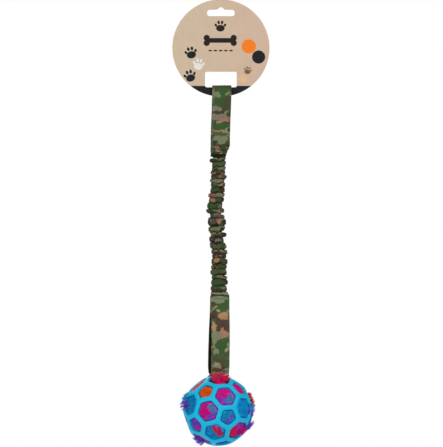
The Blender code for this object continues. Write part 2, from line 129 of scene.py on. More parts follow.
# Places from the frame
HANDLE_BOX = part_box("handle_loop")
SLEEVE_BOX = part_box("bungee_sleeve")
HEM_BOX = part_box("sleeve_hem")
BALL_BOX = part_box("lattice_ball")
FOLD_Z = HANDLE_BOX[1][2] - STRAP_THICKNESS
HANDLE_END_Z = HANDLE_BOX[0][2]
SLEEVE_TOP_Z = SLEEVE_BOX[1][2]
SLEEVE_END_Z = SLEEVE_BOX[0][2]
HEM_END_Z = HEM_BOX[0][2]
LOOP_TOP_Z = HEM_END_Z - 0.3 * MM
BALL_CENTRE = (Vector(BALL_BOX[0]) + Vector(BALL_BOX[1])) / 2
JOINTS = {joint["name"]: joint for joint in frame["joints"]}
RIB_X, _, RIB_AXIS_Z = JOINTS["ball_swing"]["pos_m"]
LOOP_HEIGHT = LOOP_TOP_Z - RIB_AXIS_Z


def smooth(low, high, value):
    """0 below low, 1 above high, and a smooth step between them."""
    share = min(max((value - low) / (high - low), 0), 1)
    return share * share * (3 - 2 * share)


def between(table, place):
    """The value at a place in a table of (place, value), on smooth steps between its rows."""
    for (low, start), (high, end) in zip(table, table[1:]):
        if place <= high:
            return start + (end - start) * smooth(low, high, place)
    return table[-1][1]


def across(u):
    """How far to the right a column of the photograph lies."""
    return (u - SLOT_U) * PIXEL


def up(v):
    """How high a row of the photograph lies."""
    return (SLOT_V - v) * PIXEL


def row(z):
    """The row of the photograph that shows a height."""
    return SLOT_V - z / PIXEL


def ripple(place, scale, seed=0.0):
    """A steady random value from -1 to 1 at a place, that changes over 1/scale metres."""
    return noise.noise(Vector(place) * scale + Vector((seed, -seed, 2 * seed)))


# Colours


def linear(part):
    """A shader's part of a colour from a screen's, each from 0 to 1."""
    return part / 12.92 if part <= 0.04045 else ((part + 0.055) / 1.055) ** 2.4


def colour(red, green, blue):
    """A shader's colour from the numbers a screen shows."""
    return (*(linear(part / 255) for part in (red, green, blue)), 1.0)


HUES = {
    "green": colour(56, 92, 44),
    "bright_green": colour(48, 100, 44),
    "deep_green": colour(42, 72, 38),
    "moss": colour(82, 100, 58),
    "olive": colour(74, 78, 48),
    "sage": colour(134, 144, 112),
    "pale": colour(162, 162, 124),
    "brown": colour(80, 58, 44),
    "umber": colour(54, 42, 28),
    # Painted shade, for creases and folds that lie in shadow
    "shadow": colour(36, 38, 22),
    "tan": colour(190, 148, 100),
    "peach": colour(188, 130, 100),
    "pink": colour(170, 104, 92),
    "stone": colour(142, 135, 116),
    "lilac": colour(132, 128, 136),
    "mauve": colour(112, 84, 84),
}

# Patches of the print that the front shows, with painted shade in the hue shadow and painted highlights, from
# the back one to the front one: the middle of each in the photograph, half its width and half its height there,
# its turn in degrees and its hue
HANDLE_PATCHES = (
    (221, 87, 14, 2.4, 0, "olive"),
    # Painted shade along the strap's fold at the top
    (221, 83.8, 14, 0.8, 0, "shadow"),
    (221, 101, 11, 5.5, 0, "green"),
    (228, 103.5, 3.8, 8.0, 0, "olive"),
    (222.6, 91, 6.4, 3.6, 0, "bright_green"),
    (222.6, 95, 3.0, 3.6, 0, "bright_green"),
    (215.0, 89, 2.2, 2.2, 0, "olive"),
    (217.0, 94.6, 4.6, 2.3, 28, "sage"),
    (213.0, 93, 1.2, 4.2, 0, "sage"),
    (227.3, 93.6, 2.3, 1.4, -38, "sage"),
    (217.5, 108.6, 5.6, 2.4, 14, "stone"),
    (214.0, 109.6, 2.6, 1.3, 0, "sage"),
    (217.5, 112.6, 7.6, 1.9, 0, "brown"),
    (225.0, 109.5, 4.2, 1.8, -34, "olive"),
    (220.6, 117.2, 10.6, 3.4, 0, "stone"),
    (225.5, 113.0, 3.6, 0.9, -36, "sage"),
    (229.6, 114.4, 2.3, 2.2, 0, "deep_green"),
    (226.0, 119.8, 6.0, 1.7, -8, "peach"),
    (229.6, 119.6, 1.8, 2.2, 0, "pink"),
    (220.5, 121.4, 4.4, 0.8, -4, "tan"),
    (218.4, 122.6, 2.3, 0.8, -10, "pale"),
    (221.2, 126.2, 7.6, 3.4, 0, "bright_green"),
    (213.9, 126.2, 1.6, 3.6, 0, "olive"),
    (219.0, 130.7, 6.6, 0.75, 0, "tan"),
    (227.0, 129.0, 3.4, 0.75, -36, "pale"),
    (229.6, 129.6, 1.5, 2.2, -20, "umber"),
    (221, 133.6, 9.6, 1.9, 0, "moss"),
    (217.0, 137.8, 3.2, 2.6, 14, "sage"),
    (223.6, 139.0, 4.4, 2.9, -24, "sage"),
    (221.6, 142.2, 3.6, 2.0, 0, "sage"),
    (215.6, 142.2, 3.0, 1.9, 10, "olive"),
    (213.6, 143.0, 1.9, 1.5, 10, "umber"),
    (225.4, 145.4, 3.2, 1.4, -12, "umber"),
    (216.8, 146.8, 4.2, 1.3, 10, "peach"),
    (218.4, 149.2, 3.6, 2.0, 18, "pink"),
    (221.6, 147.4, 2.4, 1.2, 20, "umber"),
    (224.0, 149.0, 2.8, 1.8, 0, "deep_green"),
    (219.6, 152.2, 4.6, 0.9, 20, "pale"),
    (214.6, 153.8, 4.2, 1.5, 0, "green"),
    (224.6, 153.6, 2.6, 1.6, 0, "olive"),
)

SLEEVE_PATCHES = (
    # Painted shade in the crease between the handle's foot and the sleeve
    (218, 156.0, 9, 1.2, 0, "shadow"),
    (218.4, 158.4, 6.4, 0.7, 2, "pale"),
    (211.2, 161.0, 2.2, 2.8, 0, "umber"),
    (219.4, 165.0, 6.4, 4.9, 0, "moss"),
    (221.6, 168.6, 3.6, 1.5, 0, "sage"),
    (217.0, 175.0, 7.2, 3.4, 0, "brown"),
    (221.4, 175.4, 3.6, 1.8, -32, "peach"),
    (214.0, 173.2, 1.8, 0.9, 0, "peach"),
    (222.6, 176.8, 1.7, 1.2, 0, "mauve"),
    (217.2, 181.0, 6.6, 2.1, 0, "sage"),
    (214.6, 187.6, 4.8, 4.0, 0, "green"),
    (221.8, 188.0, 2.8, 3.8, 0, "umber"),
    (221.4, 184.6, 2.4, 0.8, -20, "tan"),
    (212.2, 195.0, 3.6, 2.4, 0, "pink"),
    (219.6, 195.2, 4.4, 2.0, 0, "sage"),
    (212.6, 200.4, 3.0, 2.3, 0, "peach"),
    (218.4, 200.4, 3.2, 2.2, 0, "olive"),
    # Painted shade between gathers
    (222.6, 200.4, 1.8, 2.2, 0, "shadow"),
    (212.4, 206.4, 6.0, 3.0, 4, "green"),
    (219.8, 206.0, 3.4, 1.0, -30, "stone"),
    (220.6, 209.2, 3.6, 1.1, -34, "sage"),
    (211.0, 212.0, 5.2, 2.0, 10, "deep_green"),
    (216.2, 213.8, 4.2, 1.0, -14, "stone"),
    (222.2, 216.2, 2.6, 1.9, 0, "mauve"),
    (213.6, 222.4, 6.4, 4.0, 0, "umber"),
    (213.2, 221.4, 4.4, 2.5, -24, "mauve"),
    (211.2, 219.9, 1.5, 0.9, -24, "lilac"),
    (219.2, 221.4, 2.9, 2.4, -34, "tan"),
    (218.6, 218.4, 1.4, 2.2, 30, "pink"),
    (224.4, 222.4, 1.8, 2.8, 0, "umber"),
    (215.6, 228.8, 5.6, 1.9, 0, "sage"),
    (214.8, 231.6, 5.0, 1.6, 0, "moss"),
    # Painted shade between gathers
    (222.6, 229.6, 2.6, 2.0, 0, "shadow"),
    (217.6, 235.2, 5.8, 1.6, 0, "olive"),
    # Painted shade between gathers
    (224.0, 235.0, 2.6, 1.8, 0, "shadow"),
    # Painted shade beside a fold
    (213.4, 239.6, 4.6, 2.6, 0, "shadow"),
    # A painted highlight along the fold
    (218.0, 240.2, 3.9, 1.4, -8, "lilac"),
    (211.4, 239.0, 1.6, 1.1, -20, "mauve"),
    (215.4, 246.6, 5.4, 2.6, 0, "moss"),
    (222.4, 246.0, 1.8, 2.6, 0, "green"),
    (221.6, 250.8, 4.6, 1.0, 14, "sage"),
    (217.6, 253.2, 5.4, 1.8, 0, "brown"),
    (217.0, 259.4, 5.0, 4.2, 0, "brown"),
    (216.4, 259.6, 3.1, 2.9, -30, "tan"),
    (223.6, 258.8, 3.2, 4.0, 0, "olive"),
    (212.8, 258.0, 1.0, 3.0, 0, "umber"),
    (217.6, 266.0, 6.4, 1.5, 0, "olive"),
    (218.0, 271.4, 6.8, 3.0, 0, "moss"),
    (219.9, 277.0, 3.0, 1.2, 0, "sage"),
    (218.0, 283.6, 8.0, 4.6, 0, "green"),
    (222.4, 288.2, 2.4, 0.9, 0, "sage"),
)

# The umber row is painted shade along the hem's crease, and the pale row a painted highlight along its edge
HEM_PATCHES = (
    (219, 291.0, 10, 0.9, 0, "umber"),
    (219, 293.2, 9, 0.7, 0, "pale"),
    (219, 295.3, 11, 0.9, 0, "deep_green"),
)

LOOP_PATCHES = (
    (219.6, 300.0, 8.8, 3.6, 0, "sage"),
    (213.2, 303.6, 3.6, 2.6, 10, "brown"),
    (220.8, 307.2, 7.4, 3.8, -12, "green"),
    (226.8, 303.6, 2.6, 4.2, -10, "green"),
    (214.6, 307.6, 2.8, 0.75, -38, "pale"),
    (218.2, 311.0, 2.3, 0.8, 18, "pale"),
    (219.0, 313.4, 2.8, 1.6, 0, "moss"),
    (223.6, 316.0, 5.0, 3.9, -6, "tan"),
    (225.8, 317.6, 2.8, 1.8, 0, "peach"),
    (214.0, 314.4, 3.8, 4.4, 0, "brown"),
    (212.6, 317.0, 2.2, 2.4, 0, "umber"),
    (221.6, 323.4, 7.4, 3.4, 0, "brown"),
    (225.8, 326.4, 3.2, 3.6, 0, "brown"),
    (218.0, 328.4, 3.2, 3.4, 0, "brown"),
    (214.0, 327.4, 2.7, 4.4, 0, "tan"),
    (213.4, 323.4, 1.3, 1.2, 0, "pale"),
    (224.0, 335.2, 4.2, 4.6, 0, "peach"),
    (222.2, 329.8, 1.3, 2.8, 0, "peach"),
    (218.6, 336.0, 3.4, 4.4, 0, "stone"),
    (214.6, 341.0, 2.1, 8.6, 0, "sage"),
    (221.4, 345.6, 6.6, 5.0, -14, "green"),
    (225.0, 341.6, 4.0, 4.4, 0, "bright_green"),
    (221.8, 353.4, 6.4, 5.8, 0, "green"),
    (216.2, 351.0, 3.2, 2.8, 22, "sage"),
    (226.4, 349.8, 1.9, 1.5, -28, "pale"),
    (227.9, 345.2, 0.9, 2.6, 0, "peach"),
    (214.4, 357.8, 2.6, 2.6, 0, "olive"),
    (220.4, 360.8, 8.0, 2.2, 0, "olive"),
    (217.0, 365.8, 4.8, 2.2, 0, "stone"),
    (216.6, 364.4, 2.4, 1.7, 0, "pale"),
    (218.0, 369.6, 6.4, 1.6, 0, "brown"),
    (226.0, 369.4, 3.2, 1.0, -38, "sage"),
    (218.4, 374.0, 7.0, 2.4, 0, "pink"),
    (226.4, 374.0, 2.2, 2.4, 0, "stone"),
)


class Paint:
    """A material as it is put together, with short calls for the nodes that it uses often."""

    def __init__(self, name):
        self.material = bpy.data.materials.new(name)
        self.material.use_nodes = True
        self.tree = self.material.node_tree
        self.shader = self.tree.nodes["Principled BSDF"]

    def feed(self, socket, value):
        """Links a socket or sets a plain value."""
        if isinstance(value, bpy.types.NodeSocket):
            self.tree.links.new(value, socket)
        else:
            socket.default_value = value

    def node(self, kind, inputs=(), **settings):
        """A node with its settings, and with its inputs by name or by number."""
        made = self.tree.nodes.new(f"ShaderNode{kind}")
        for name, value in settings.items():
            setattr(made, name, value)
        for name, value in dict(inputs).items():
            self.feed(made.inputs[name], value)
        return made

    def attribute(self, name):
        """A vector that the mesh carries at each point."""
        return self.node("Attribute", attribute_name=name).outputs["Vector"]

    def value_attribute(self, name):
        """A number that the mesh carries at each point."""
        return self.node("Attribute", attribute_name=name).outputs["Fac"]

    def place(self):
        """Where a point lies in the toy at rest, on a piece that does not bend."""
        return self.node("TexCoord").outputs["Object"]

    def parts(self, vector):
        """The x, y and z of a vector."""
        return self.node("SeparateXYZ", {0: vector}).outputs

    def maths(self, operation, *values):
        return self.node("Math", dict(enumerate(values)), operation=operation).outputs[0]

    def vector(self, operation, *values):
        return self.node("VectorMath", dict(enumerate(values)), operation=operation).outputs["Vector"]

    def step(self, value, low, high, start=0.0, end=1.0):
        """start at low, end at high, and straight between them."""
        values = {"Value": value, "From Min": low, "From Max": high, "To Min": start, "To Max": end}
        return self.node("MapRange", values).outputs[0]

    def mix(self, share, first, second, way="MIX"):
        """The first colour changed by the second, by a share."""
        made = self.node("Mix", {0: share, 6: first, 7: second}, data_type="RGBA", blend_type=way)
        return made.outputs[2]

    def cloud(self, place, scale, detail=2.0, rough=0.5):
        """Soft random values about a half, and a random vector to go with them."""
        values = {"Vector": place, "Scale": scale, "Detail": detail, "Roughness": rough}
        made = self.node("TexNoise", values)
        return made.outputs[0], made.outputs[1]

    def stretch(self, place, scale, offset=(0, 0, 0)):
        """A place stretched along the axes, and moved."""
        return self.node("Mapping", {"Vector": place, "Scale": scale, "Location": offset}).outputs[0]

    def oval(self, place, centre, radii, turn=0.0, edge=0.06):
        """1 inside a round or oval patch and 0 outside it. turn is in degrees, from the front."""
        values = {"Vector": place, "Location": centre, "Rotation": (0, math.radians(turn), 0), "Scale": radii}
        inside = self.node("Mapping", values, vector_type="TEXTURE").outputs[0]
        reach = self.node("VectorMath", {0: inside}, operation="LENGTH").outputs["Value"]
        return self.step(reach, 1 + edge, 1 - edge)

    def bump(self, height, distance, strength, before=None):
        values = {"Height": height, "Distance": distance, "Strength": strength}
        if before is not None:
            values["Normal"] = before
        return self.node("Bump", values).outputs[0]

    def done(self, **sockets):
        """Feeds the shader by socket name, with _ for a space, and gives the material."""
        for name, value in sockets.items():
            self.feed(self.shader.inputs[name.replace("_", " ")], value)
        return self.material


# How the cloth is woven and printed
RIB_PITCH = 0.85 * MM
THREAD_PITCH = 0.50 * MM
PRINT_WOBBLE = 6.4 * MM
SEAM_FROM_MIDDLE = 9.2 * MM
# Near-black painted shade for creases, the gathers' undersides and the cloth's inner faces
PAINTED_SHADE = colour(18, 20, 12)
# Clouds of colour: each one's hue, how fine it is, the level of noise it starts at, and its offset in it
CLOUD_EDGE = 0.008
CLOUDS = (
    ("moss", 62, 0.50, 3.1),
    ("olive", 70, 0.55, 11.7),
    ("brown", 64, 0.57, 23.9),
    ("sage", 76, 0.585, 37.3),
    ("tan", 88, 0.63, 51.1),
    ("umber", 110, 0.63, 67.7),
)


def camouflage(name, patches, middle_y, depth, squeeze, strength, seam=False):
    """Ribbed cloth with a camouflage print: clouds of colour all over, patches where the front has them, and
    painted shade.

    The mesh carries dye_place, where a point lies on the print, and cloth_place: across the weave, along it,
    and its share of painted shade, from 0 on the face to 1 in a crease, under a gather or on the cloth's inner
    faces.
    """
    paint = Paint(name)
    inks = {hue: (*(strength * part for part in shade[:3]), 1.0) for hue, shade in HUES.items()}
    dye = paint.attribute("dye_place")
    cloth = paint.attribute("cloth_place")
    _, drift = paint.cloud(dye, 190, 2.5, 0.55)
    drift = paint.vector("SUBTRACT", drift, (0.5, 0.5, 0.5))
    drift = paint.vector("MULTIPLY", drift, (PRINT_WOBBLE,) * 3)
    spot = paint.vector("ADD", dye, drift)
    shade = inks["green"]
    for hue, scale, threshold, offset in CLOUDS:
        level, _ = paint.cloud(paint.stretch(spot, (1, 1, squeeze), (offset, 0, 0)), scale, 1.0)
        shown = paint.step(level, threshold - CLOUD_EDGE, threshold + CLOUD_EDGE)
        shade = paint.mix(shown, shade, inks[hue])
    for u, v, half_width, half_height, turn, hue in patches:
        centre = (across(u), middle_y, up(v))
        radii = (half_width * PIXEL, depth, half_height * PIXEL)
        shade = paint.mix(paint.oval(spot, centre, radii, turn), shade, inks[hue])
    wide, along, shade_level = paint.parts(cloth)
    ribs = paint.maths("ABSOLUTE", paint.maths("SINE", paint.maths("MULTIPLY", along, math.pi / RIB_PITCH)))
    threads = paint.maths("SINE", paint.maths("MULTIPLY", wide, math.tau / THREAD_PITCH))
    weave = paint.maths("ADD", ribs, paint.maths("MULTIPLY", threads, 0.3))
    fibre, _ = paint.cloud(paint.stretch(cloth, (1, 0.25, 1)), 2600, 3.0, 0.6)
    worn, _ = paint.cloud(dye, 90, 3.0, 0.6)
    shade = paint.mix(paint.step(weave, 0.1, 1.1, 0.22, 0.0), shade, inks["umber"], "MULTIPLY")
    shade = paint.mix(paint.step(fibre, 0.35, 0.7, 0.0, 0.10), shade, inks["pale"])
    shade = paint.mix(paint.step(worn, 0.4, 0.75, 0.0, 0.08), shade, inks["stone"])
    # Painted shade: the cloth goes near-black by its share of shade
    shade = paint.mix(paint.step(shade_level, 0.25, 0.95, 0.0, 0.92), shade, PAINTED_SHADE)
    height = paint.maths("ADD", weave, paint.maths("MULTIPLY", fibre, 0.5))
    # A light line along the seam: lighter thread, and a painted highlight on the seam's ridge
    if seam:
        from_seam = paint.maths("ABSOLUTE", paint.maths("ADD", wide, SEAM_FROM_MIDDLE))
        line = paint.step(from_seam, 0.55 * MM, 0.25 * MM)
        shade = paint.mix(paint.maths("MULTIPLY", line, 0.4), shade, inks["sage"])
    normal = paint.bump(height, 0.12 * MM, 0.5)
    material = paint.done(Base_Color=shade, Roughness=0.8, Normal=normal)
    paint.shader.inputs["Sheen Weight"].default_value = 0.04
    paint.shader.inputs["Sheen Roughness"].default_value = 0.5
    paint.shader.inputs["Specular IOR Level"].default_value = 0.15
    return material


# The card's print, in the photograph's columns and rows
CARD_COLOURS = {
    "kraft": colour(203, 184, 158),
    "blush": colour(207, 178, 156),
    "fibre": colour(176, 150, 120),
    "core": colour(168, 142, 112),
    "ink": colour(34, 26, 26),
    "orange": colour(240, 124, 28),
    "black": colour(26, 25, 30),
    "white": colour(226, 221, 216),
    "bronze": colour(122, 88, 52),
    "sand": colour(226, 186, 130),
}
CARD_BAND_V = 85.9
BAND_EDGE = 0.2 * MM
# Two dots: the middle of each, its radius in pixels and its ink
DOTS = ((248.75, 46.4, 7.1, "orange"), (258.6, 57.0, 6.6, "black"))
# Each toe of a paw print: across and up from its pad, its half width and half height, as shares of the pad's
# half width, and its turn in degrees
TOE_SHARES = (
    (-1.06, 0.72, 0.27, 0.38, -32),
    (-0.40, 1.34, 0.29, 0.42, -8),
    (0.40, 1.34, 0.29, 0.42, 8),
    (1.06, 0.72, 0.27, 0.38, 32),
)
# Paw prints in place of the pictures: the pad's middle, its half width in pixels, its turn and its ink
PAWS = (
    (220.4, 28.2, 4.3, 0, "ink"),
    (190.6, 78.0, 4.6, -16, "black"),
    (198.2, 66.4, 4.4, 10, "white"),
    (191.4, 54.8, 4.6, -12, "black"),
    (243.2, 80.2, 2.9, -14, "sand"),
    (247.4, 71.8, 2.9, 12, "bronze"),
)
# A bone in place of the words: its middle, half its length and half its shaft's height, in pixels
BONE = (220.2, 40.4, 13.5, 2.5)
BONE_KNOB_PIXELS = 3.1
SHAFT_EDGE_PIXELS = 0.3
DASH_ROW_V = 50.6
DASH_COLUMNS = (210.2, 215.4, 220.6, 225.8, 231.0)
DASH_HALF_PIXELS = (1.9, 0.8)
# The height of a paw's pad as a share of its width
PAD_HEIGHT_SHARE = 0.78
# The depths between which the print fades out behind the card's front, and its bare core inside its faces
PRINT_EDGE = (-0.30 * MM, -0.36 * MM)
CORE_EDGE = (0.38 * MM, 0.34 * MM)


def card_print(paint, place, shade):
    """Plain marks on the card's front: a band, two dots, a bone, dashes and paw prints."""

    def put(u, v, half_width, half_height, turn, ink, shade):
        centre = (across(u), 0, up(v))
        radii = (half_width * PIXEL, 1, half_height * PIXEL)
        mask = paint.oval(place, centre, radii, turn, 0.5 / (half_width + half_height))
        return paint.mix(mask, shade, CARD_COLOURS[ink])

    x, _, z = paint.parts(place)
    band = paint.step(z, up(CARD_BAND_V) + BAND_EDGE, up(CARD_BAND_V) - BAND_EDGE)
    shade = paint.mix(band, shade, CARD_COLOURS["black"])
    for u, v, radius, ink in DOTS:
        shade = put(u, v, radius, radius, 0, ink, shade)
    u, v, half_length, half_shaft = BONE
    for side in (-1, 1):
        for level in (-1, 1):
            knob_u = u + side * half_length
            shade = put(knob_u, v + level * half_shaft, BONE_KNOB_PIXELS, BONE_KNOB_PIXELS, 0, "ink", shade)
    wide = paint.maths("ABSOLUTE", paint.maths("SUBTRACT", x, across(u)))
    high = paint.maths("ABSOLUTE", paint.maths("SUBTRACT", z, up(v)))
    in_height = paint.step(high, half_shaft * PIXEL, (half_shaft - SHAFT_EDGE_PIXELS) * PIXEL)
    in_length = paint.step(wide, half_length * PIXEL, (half_length - SHAFT_EDGE_PIXELS) * PIXEL)
    shade = paint.mix(paint.maths("MULTIPLY", in_height, in_length), shade, CARD_COLOURS["ink"])
    for dash_u in DASH_COLUMNS:
        shade = put(dash_u, DASH_ROW_V, *DASH_HALF_PIXELS, 0, "ink", shade)
    for u, v, half, turn, ink in PAWS:
        shade = put(u, v, half, PAD_HEIGHT_SHARE * half, turn, ink, shade)
        for toe_across, toe_up, toe_width, toe_height, toe_turn in TOE_SHARES:
            angle = math.radians(turn)
            toe_u = u + half * (toe_across * math.cos(angle) + toe_up * math.sin(angle))
            toe_v = v - half * (toe_up * math.cos(angle) - toe_across * math.sin(angle))
            shade = put(toe_u, toe_v, toe_width * half, toe_height * half, turn + toe_turn, ink, shade)
    return shade


def card_material():
    """Uncoated kraft card with fine fibres, a print on its front and a bare core at its cut edges."""
    paint = Paint("kraft_card")
    place = paint.place()
    x, y, _ = paint.parts(place)
    mottle, _ = paint.cloud(place, 55, 3.0, 0.6)
    fibres, _ = paint.cloud(paint.stretch(place, (1, 1, 0.35)), 1500, 3.0, 0.65)
    flecks, _ = paint.cloud(paint.stretch(place, (0.4, 1, 1)), 2400, 2.0, 0.5)
    sideways = paint.step(x, -30 * MM, 45 * MM)
    shade = paint.mix(sideways, CARD_COLOURS["kraft"], CARD_COLOURS["blush"])
    shade = paint.mix(paint.step(mottle, 0.35, 0.7, 0.0, 0.16), shade, CARD_COLOURS["fibre"])
    shade = paint.mix(paint.step(fibres, 0.5, 0.75, 0.0, 0.28), shade, CARD_COLOURS["fibre"])
    shade = paint.mix(paint.step(flecks, 0.68, 0.76, 0.0, 0.35), shade, CARD_COLOURS["core"])
    printed = card_print(paint, place, shade)
    front = paint.step(y, *PRINT_EDGE)
    shade = paint.mix(front, shade, printed)
    inside = paint.step(paint.maths("ABSOLUTE", y), *CORE_EDGE)
    shade = paint.mix(inside, shade, CARD_COLOURS["core"])
    normal = paint.bump(fibres, 0.05 * MM, 0.35)
    material = paint.done(Base_Color=shade, Roughness=0.78, Normal=normal)
    paint.shader.inputs["Specular IOR Level"].default_value = 0.22
    return material


def thread_material():
    """Twisted olive thread."""
    paint = Paint("olive_thread")
    place = paint.place()
    twist, _ = paint.cloud(paint.stretch(place, (1, 1, 3)), 1800, 2.0)
    shade = paint.mix(paint.step(twist, 0.35, 0.65), HUES["olive"], HUES["moss"])
    return paint.done(Base_Color=shade, Roughness=0.6, Normal=paint.bump(twist, 0.1 * MM, 0.5))


def elastic_material():
    """Black covered elastic with fine ribs."""
    paint = Paint("black_elastic")
    cloth = paint.attribute("cloth_place")
    wide, along, _ = paint.parts(cloth)
    ribs = paint.maths("SINE", paint.maths("MULTIPLY", along, math.tau / (1.1 * MM)))
    cords = paint.maths("SINE", paint.maths("MULTIPLY", wide, math.tau / (0.8 * MM)))
    shade = paint.mix(paint.step(ribs, -1, 1), colour(16, 16, 18), colour(44, 44, 46))
    height = paint.maths("ADD", ribs, cords)
    return paint.done(Base_Color=shade, Roughness=0.7, Normal=paint.bump(height, 0.1 * MM, 0.6))


RUBBER_BRIGHT = colour(0, 186, 230)
# The darker colour is painted shade down inside the holes, and also a random darker mottle
RUBBER_SHADE_AND_MOTTLE = colour(0, 128, 176)
RUBBER_DUSTY = colour(30, 192, 226)


def rubber_material():
    """Satin cyan rubber with a fine moulded grain, and painted shade that darkens it down inside its holes."""
    paint = Paint("cyan_rubber")
    place = paint.place()
    outward = paint.vector("SUBTRACT", place, tuple(BALL_CENTRE))
    reach = paint.node("VectorMath", {0: outward}, operation="LENGTH").outputs["Value"]
    mottle, _ = paint.cloud(place, 70, 3.0, 0.55)
    grain, _ = paint.cloud(place, 2300, 2.0, 0.6)
    # Painted shade: darker towards the holes' inner walls, nearer the ball's middle
    shade = paint.mix(paint.step(reach, 37.5 * MM, 41.8 * MM), RUBBER_SHADE_AND_MOTTLE, RUBBER_BRIGHT)
    shade = paint.mix(paint.step(mottle, 0.45, 0.75, 0.0, 0.22), shade, RUBBER_DUSTY)
    shade = paint.mix(paint.step(mottle, 0.45, 0.2, 0.0, 0.2), shade, RUBBER_SHADE_AND_MOTTLE)
    rough = paint.step(mottle, 0.3, 0.7, 0.42, 0.54)
    material = paint.done(Base_Color=shade, Roughness=rough, Normal=paint.bump(grain, 0.06 * MM, 0.3))
    paint.shader.inputs["Specular IOR Level"].default_value = 0.22
    return material


# Each fur's dyes: at its roots, along the strand and at its tips, and a second dye that some strands have
FUR_DYES = {
    "blue_fur": (colour(0, 130, 205), colour(0, 178, 242), colour(14, 196, 250), colour(0, 150, 244)),
    "orange_fur": (colour(232, 70, 0), colour(252, 112, 6), colour(254, 136, 30), colour(250, 88, 0)),
    "pink_fur": (colour(198, 0, 124), colour(250, 0, 176), colour(254, 40, 184), colour(236, 0, 156)),
    "crimson_fur": (colour(206, 0, 66), colour(252, 18, 104), colour(254, 64, 122), colour(244, 0, 142)),
    "purple_fur": (colour(104, 52, 184), colour(152, 88, 236), colour(186, 120, 250), colour(112, 102, 242)),
    "teal_fur": (colour(0, 130, 176), colour(0, 176, 226), colour(20, 192, 236), colour(0, 156, 236)),
}


def fur_material(name):
    """Long-pile fibre, darker down at its roots, with each strand a little different."""
    root, middle, tip, second = FUR_DYES[name]
    paint = Paint(name)
    reach = paint.value_attribute("strand_reach")
    tone = paint.value_attribute("strand_tone")
    body = paint.mix(paint.step(tone, 0.55, 0.95, 0.0, 0.8), middle, second)
    shade = paint.mix(paint.step(reach, 0.0, 0.40), root, body)
    shade = paint.mix(paint.step(reach, 0.45, 1.0, 0.0, 0.75), shade, tip)
    dark = paint.step(tone, 0.0, 0.35, 0.25, 0.0)
    shade = paint.mix(dark, shade, root)
    hairs, _ = paint.cloud(paint.place(), 1500, 3.0, 0.7)
    shade = paint.mix(paint.step(hairs, 0.5, 0.7, 0.0, 0.3), shade, root)
    material = paint.done(Base_Color=shade, Roughness=0.6, Normal=paint.bump(hairs, 0.2 * MM, 0.5))
    paint.shader.inputs["Sheen Weight"].default_value = 0.06
    paint.shader.inputs["Sheen Roughness"].default_value = 0.4
    paint.shader.inputs["Specular IOR Level"].default_value = 0.15
    return material


def stuffing_material():
    """Packed purple fibre."""
    paint = Paint("stuffing")
    place = paint.place()
    clumps, _ = paint.cloud(place, 260, 3.0, 0.6)
    shade = paint.mix(paint.step(clumps, 0.35, 0.65), colour(40, 10, 70), colour(96, 40, 130))
    return paint.done(Base_Color=shade, Roughness=0.9, Normal=paint.bump(clumps, 1 * MM, 0.8))


# Pieces


def mesh_from(shape, name):
    """The mesh of a bmesh, which is freed."""
    mesh = bpy.data.meshes.new(name)
    shape.to_mesh(mesh)
    shape.free()
    return mesh


def put_in_scene(name, data):
    """An object in the scene, from its mesh, lamp or camera."""
    made = bpy.data.objects.new(name, data)
    bpy.context.scene.collection.objects.link(made)
    return made


def add_piece(name, mesh, material, slot_name):
    """A piece from its mesh, with its faces turned outward."""
    shape = bmesh.new()
    shape.from_mesh(mesh)
    bmesh.ops.recalc_face_normals(shape, faces=shape.faces)
    shape.to_mesh(mesh)
    shape.free()
    mesh.shade_smooth()
    mesh.materials.append(material)
    piece = put_in_scene(name, mesh)
    return piece


def give_vectors(mesh, name, vectors):
    """Stores a vector at each point of a mesh, for its material."""
    carried = mesh.attributes.new(name, "FLOAT_VECTOR", "POINT")
    carried.data.foreach_set("vector", [part for vector in vectors for part in vector])


def give_values(mesh, name, values):
    """Stores a number at each point of a mesh, for its material."""
    carried = mesh.attributes.new(name, "FLOAT", "POINT")
    carried.data.foreach_set("value", values)


def skin(name, rings, lids=True):
    """A closed mesh through rings of (point, dye place, cloth place).

    It has a lid on each end, or else its last ring joins its first, as on a tube with an inner wall.
    """
    count = len(rings[0])
    flat = [corner for ring in rings for corner in ring]
    faces = []
    for start in range(0, len(flat) - count if lids else len(flat), count):
        following = (start + count) % len(flat)
        for k in range(count):
            beside = (k + 1) % count
            faces.append((start + k, start + beside, following + beside, following + k))
    if lids:
        faces.append(tuple(range(count)))
        faces.append(tuple(range(len(flat) - count, len(flat))))
    mesh = bpy.data.meshes.new(name)
    mesh.from_pydata([corner[0] for corner in flat], [], faces)
    give_vectors(mesh, "dye_place", [corner[1] for corner in flat])
    give_vectors(mesh, "cloth_place", [corner[2] for corner in flat])
    return mesh


# How finely the straps are meshed
STRAP_COLUMNS = 26
EDGE_STEPS = 6
STRAP_STEP = 0.3 * MM
SHIFT = 0.01 * MM


def strap_section(half_width, half_thickness):
    """Points round a strap's section: (across, out, cloth across, side). The side is 0 outside and 1 inside."""
    flat = half_width - half_thickness
    columns = [2 * k / STRAP_COLUMNS - 1 for k in range(STRAP_COLUMNS + 1)]
    section = []
    for way, face in ((1, 0.0), (-1, 1.0)):
        for share in columns:
            section.append((way * share * flat, way * half_thickness, way * share * flat, face))
        for k in range(1, EDGE_STEPS):
            angle = math.pi * k / EDGE_STEPS
            reach = way * (flat + half_thickness * math.sin(angle))
            section.append((reach, way * half_thickness * math.cos(angle), reach, abs(face - k / EDGE_STEPS)))
    return section


def strap_half(side, sewn_length):
    """Half of a folded strap's middle line from the fold's middle: (across, along) points and normals."""
    points = [Vector(point) for point in side]
    normals = []
    for index in range(len(points)):
        before, after = points[max(index - 1, 0)], points[min(index + 1, len(points) - 1)]
        along = (after - before).normalized()
        normals.append(Vector((along.y, -along.x)))
    normals[0], normals[-1] = Vector((0, -1)), Vector((1, 0))
    close = points[-1]
    steps = max(round(sewn_length / STRAP_STEP), 2)
    for step in range(1, steps + 1):
        points.append(close + Vector((0, sewn_length * step / steps)))
        normals.append(Vector((1, 0)))
    return list(zip(points, normals))


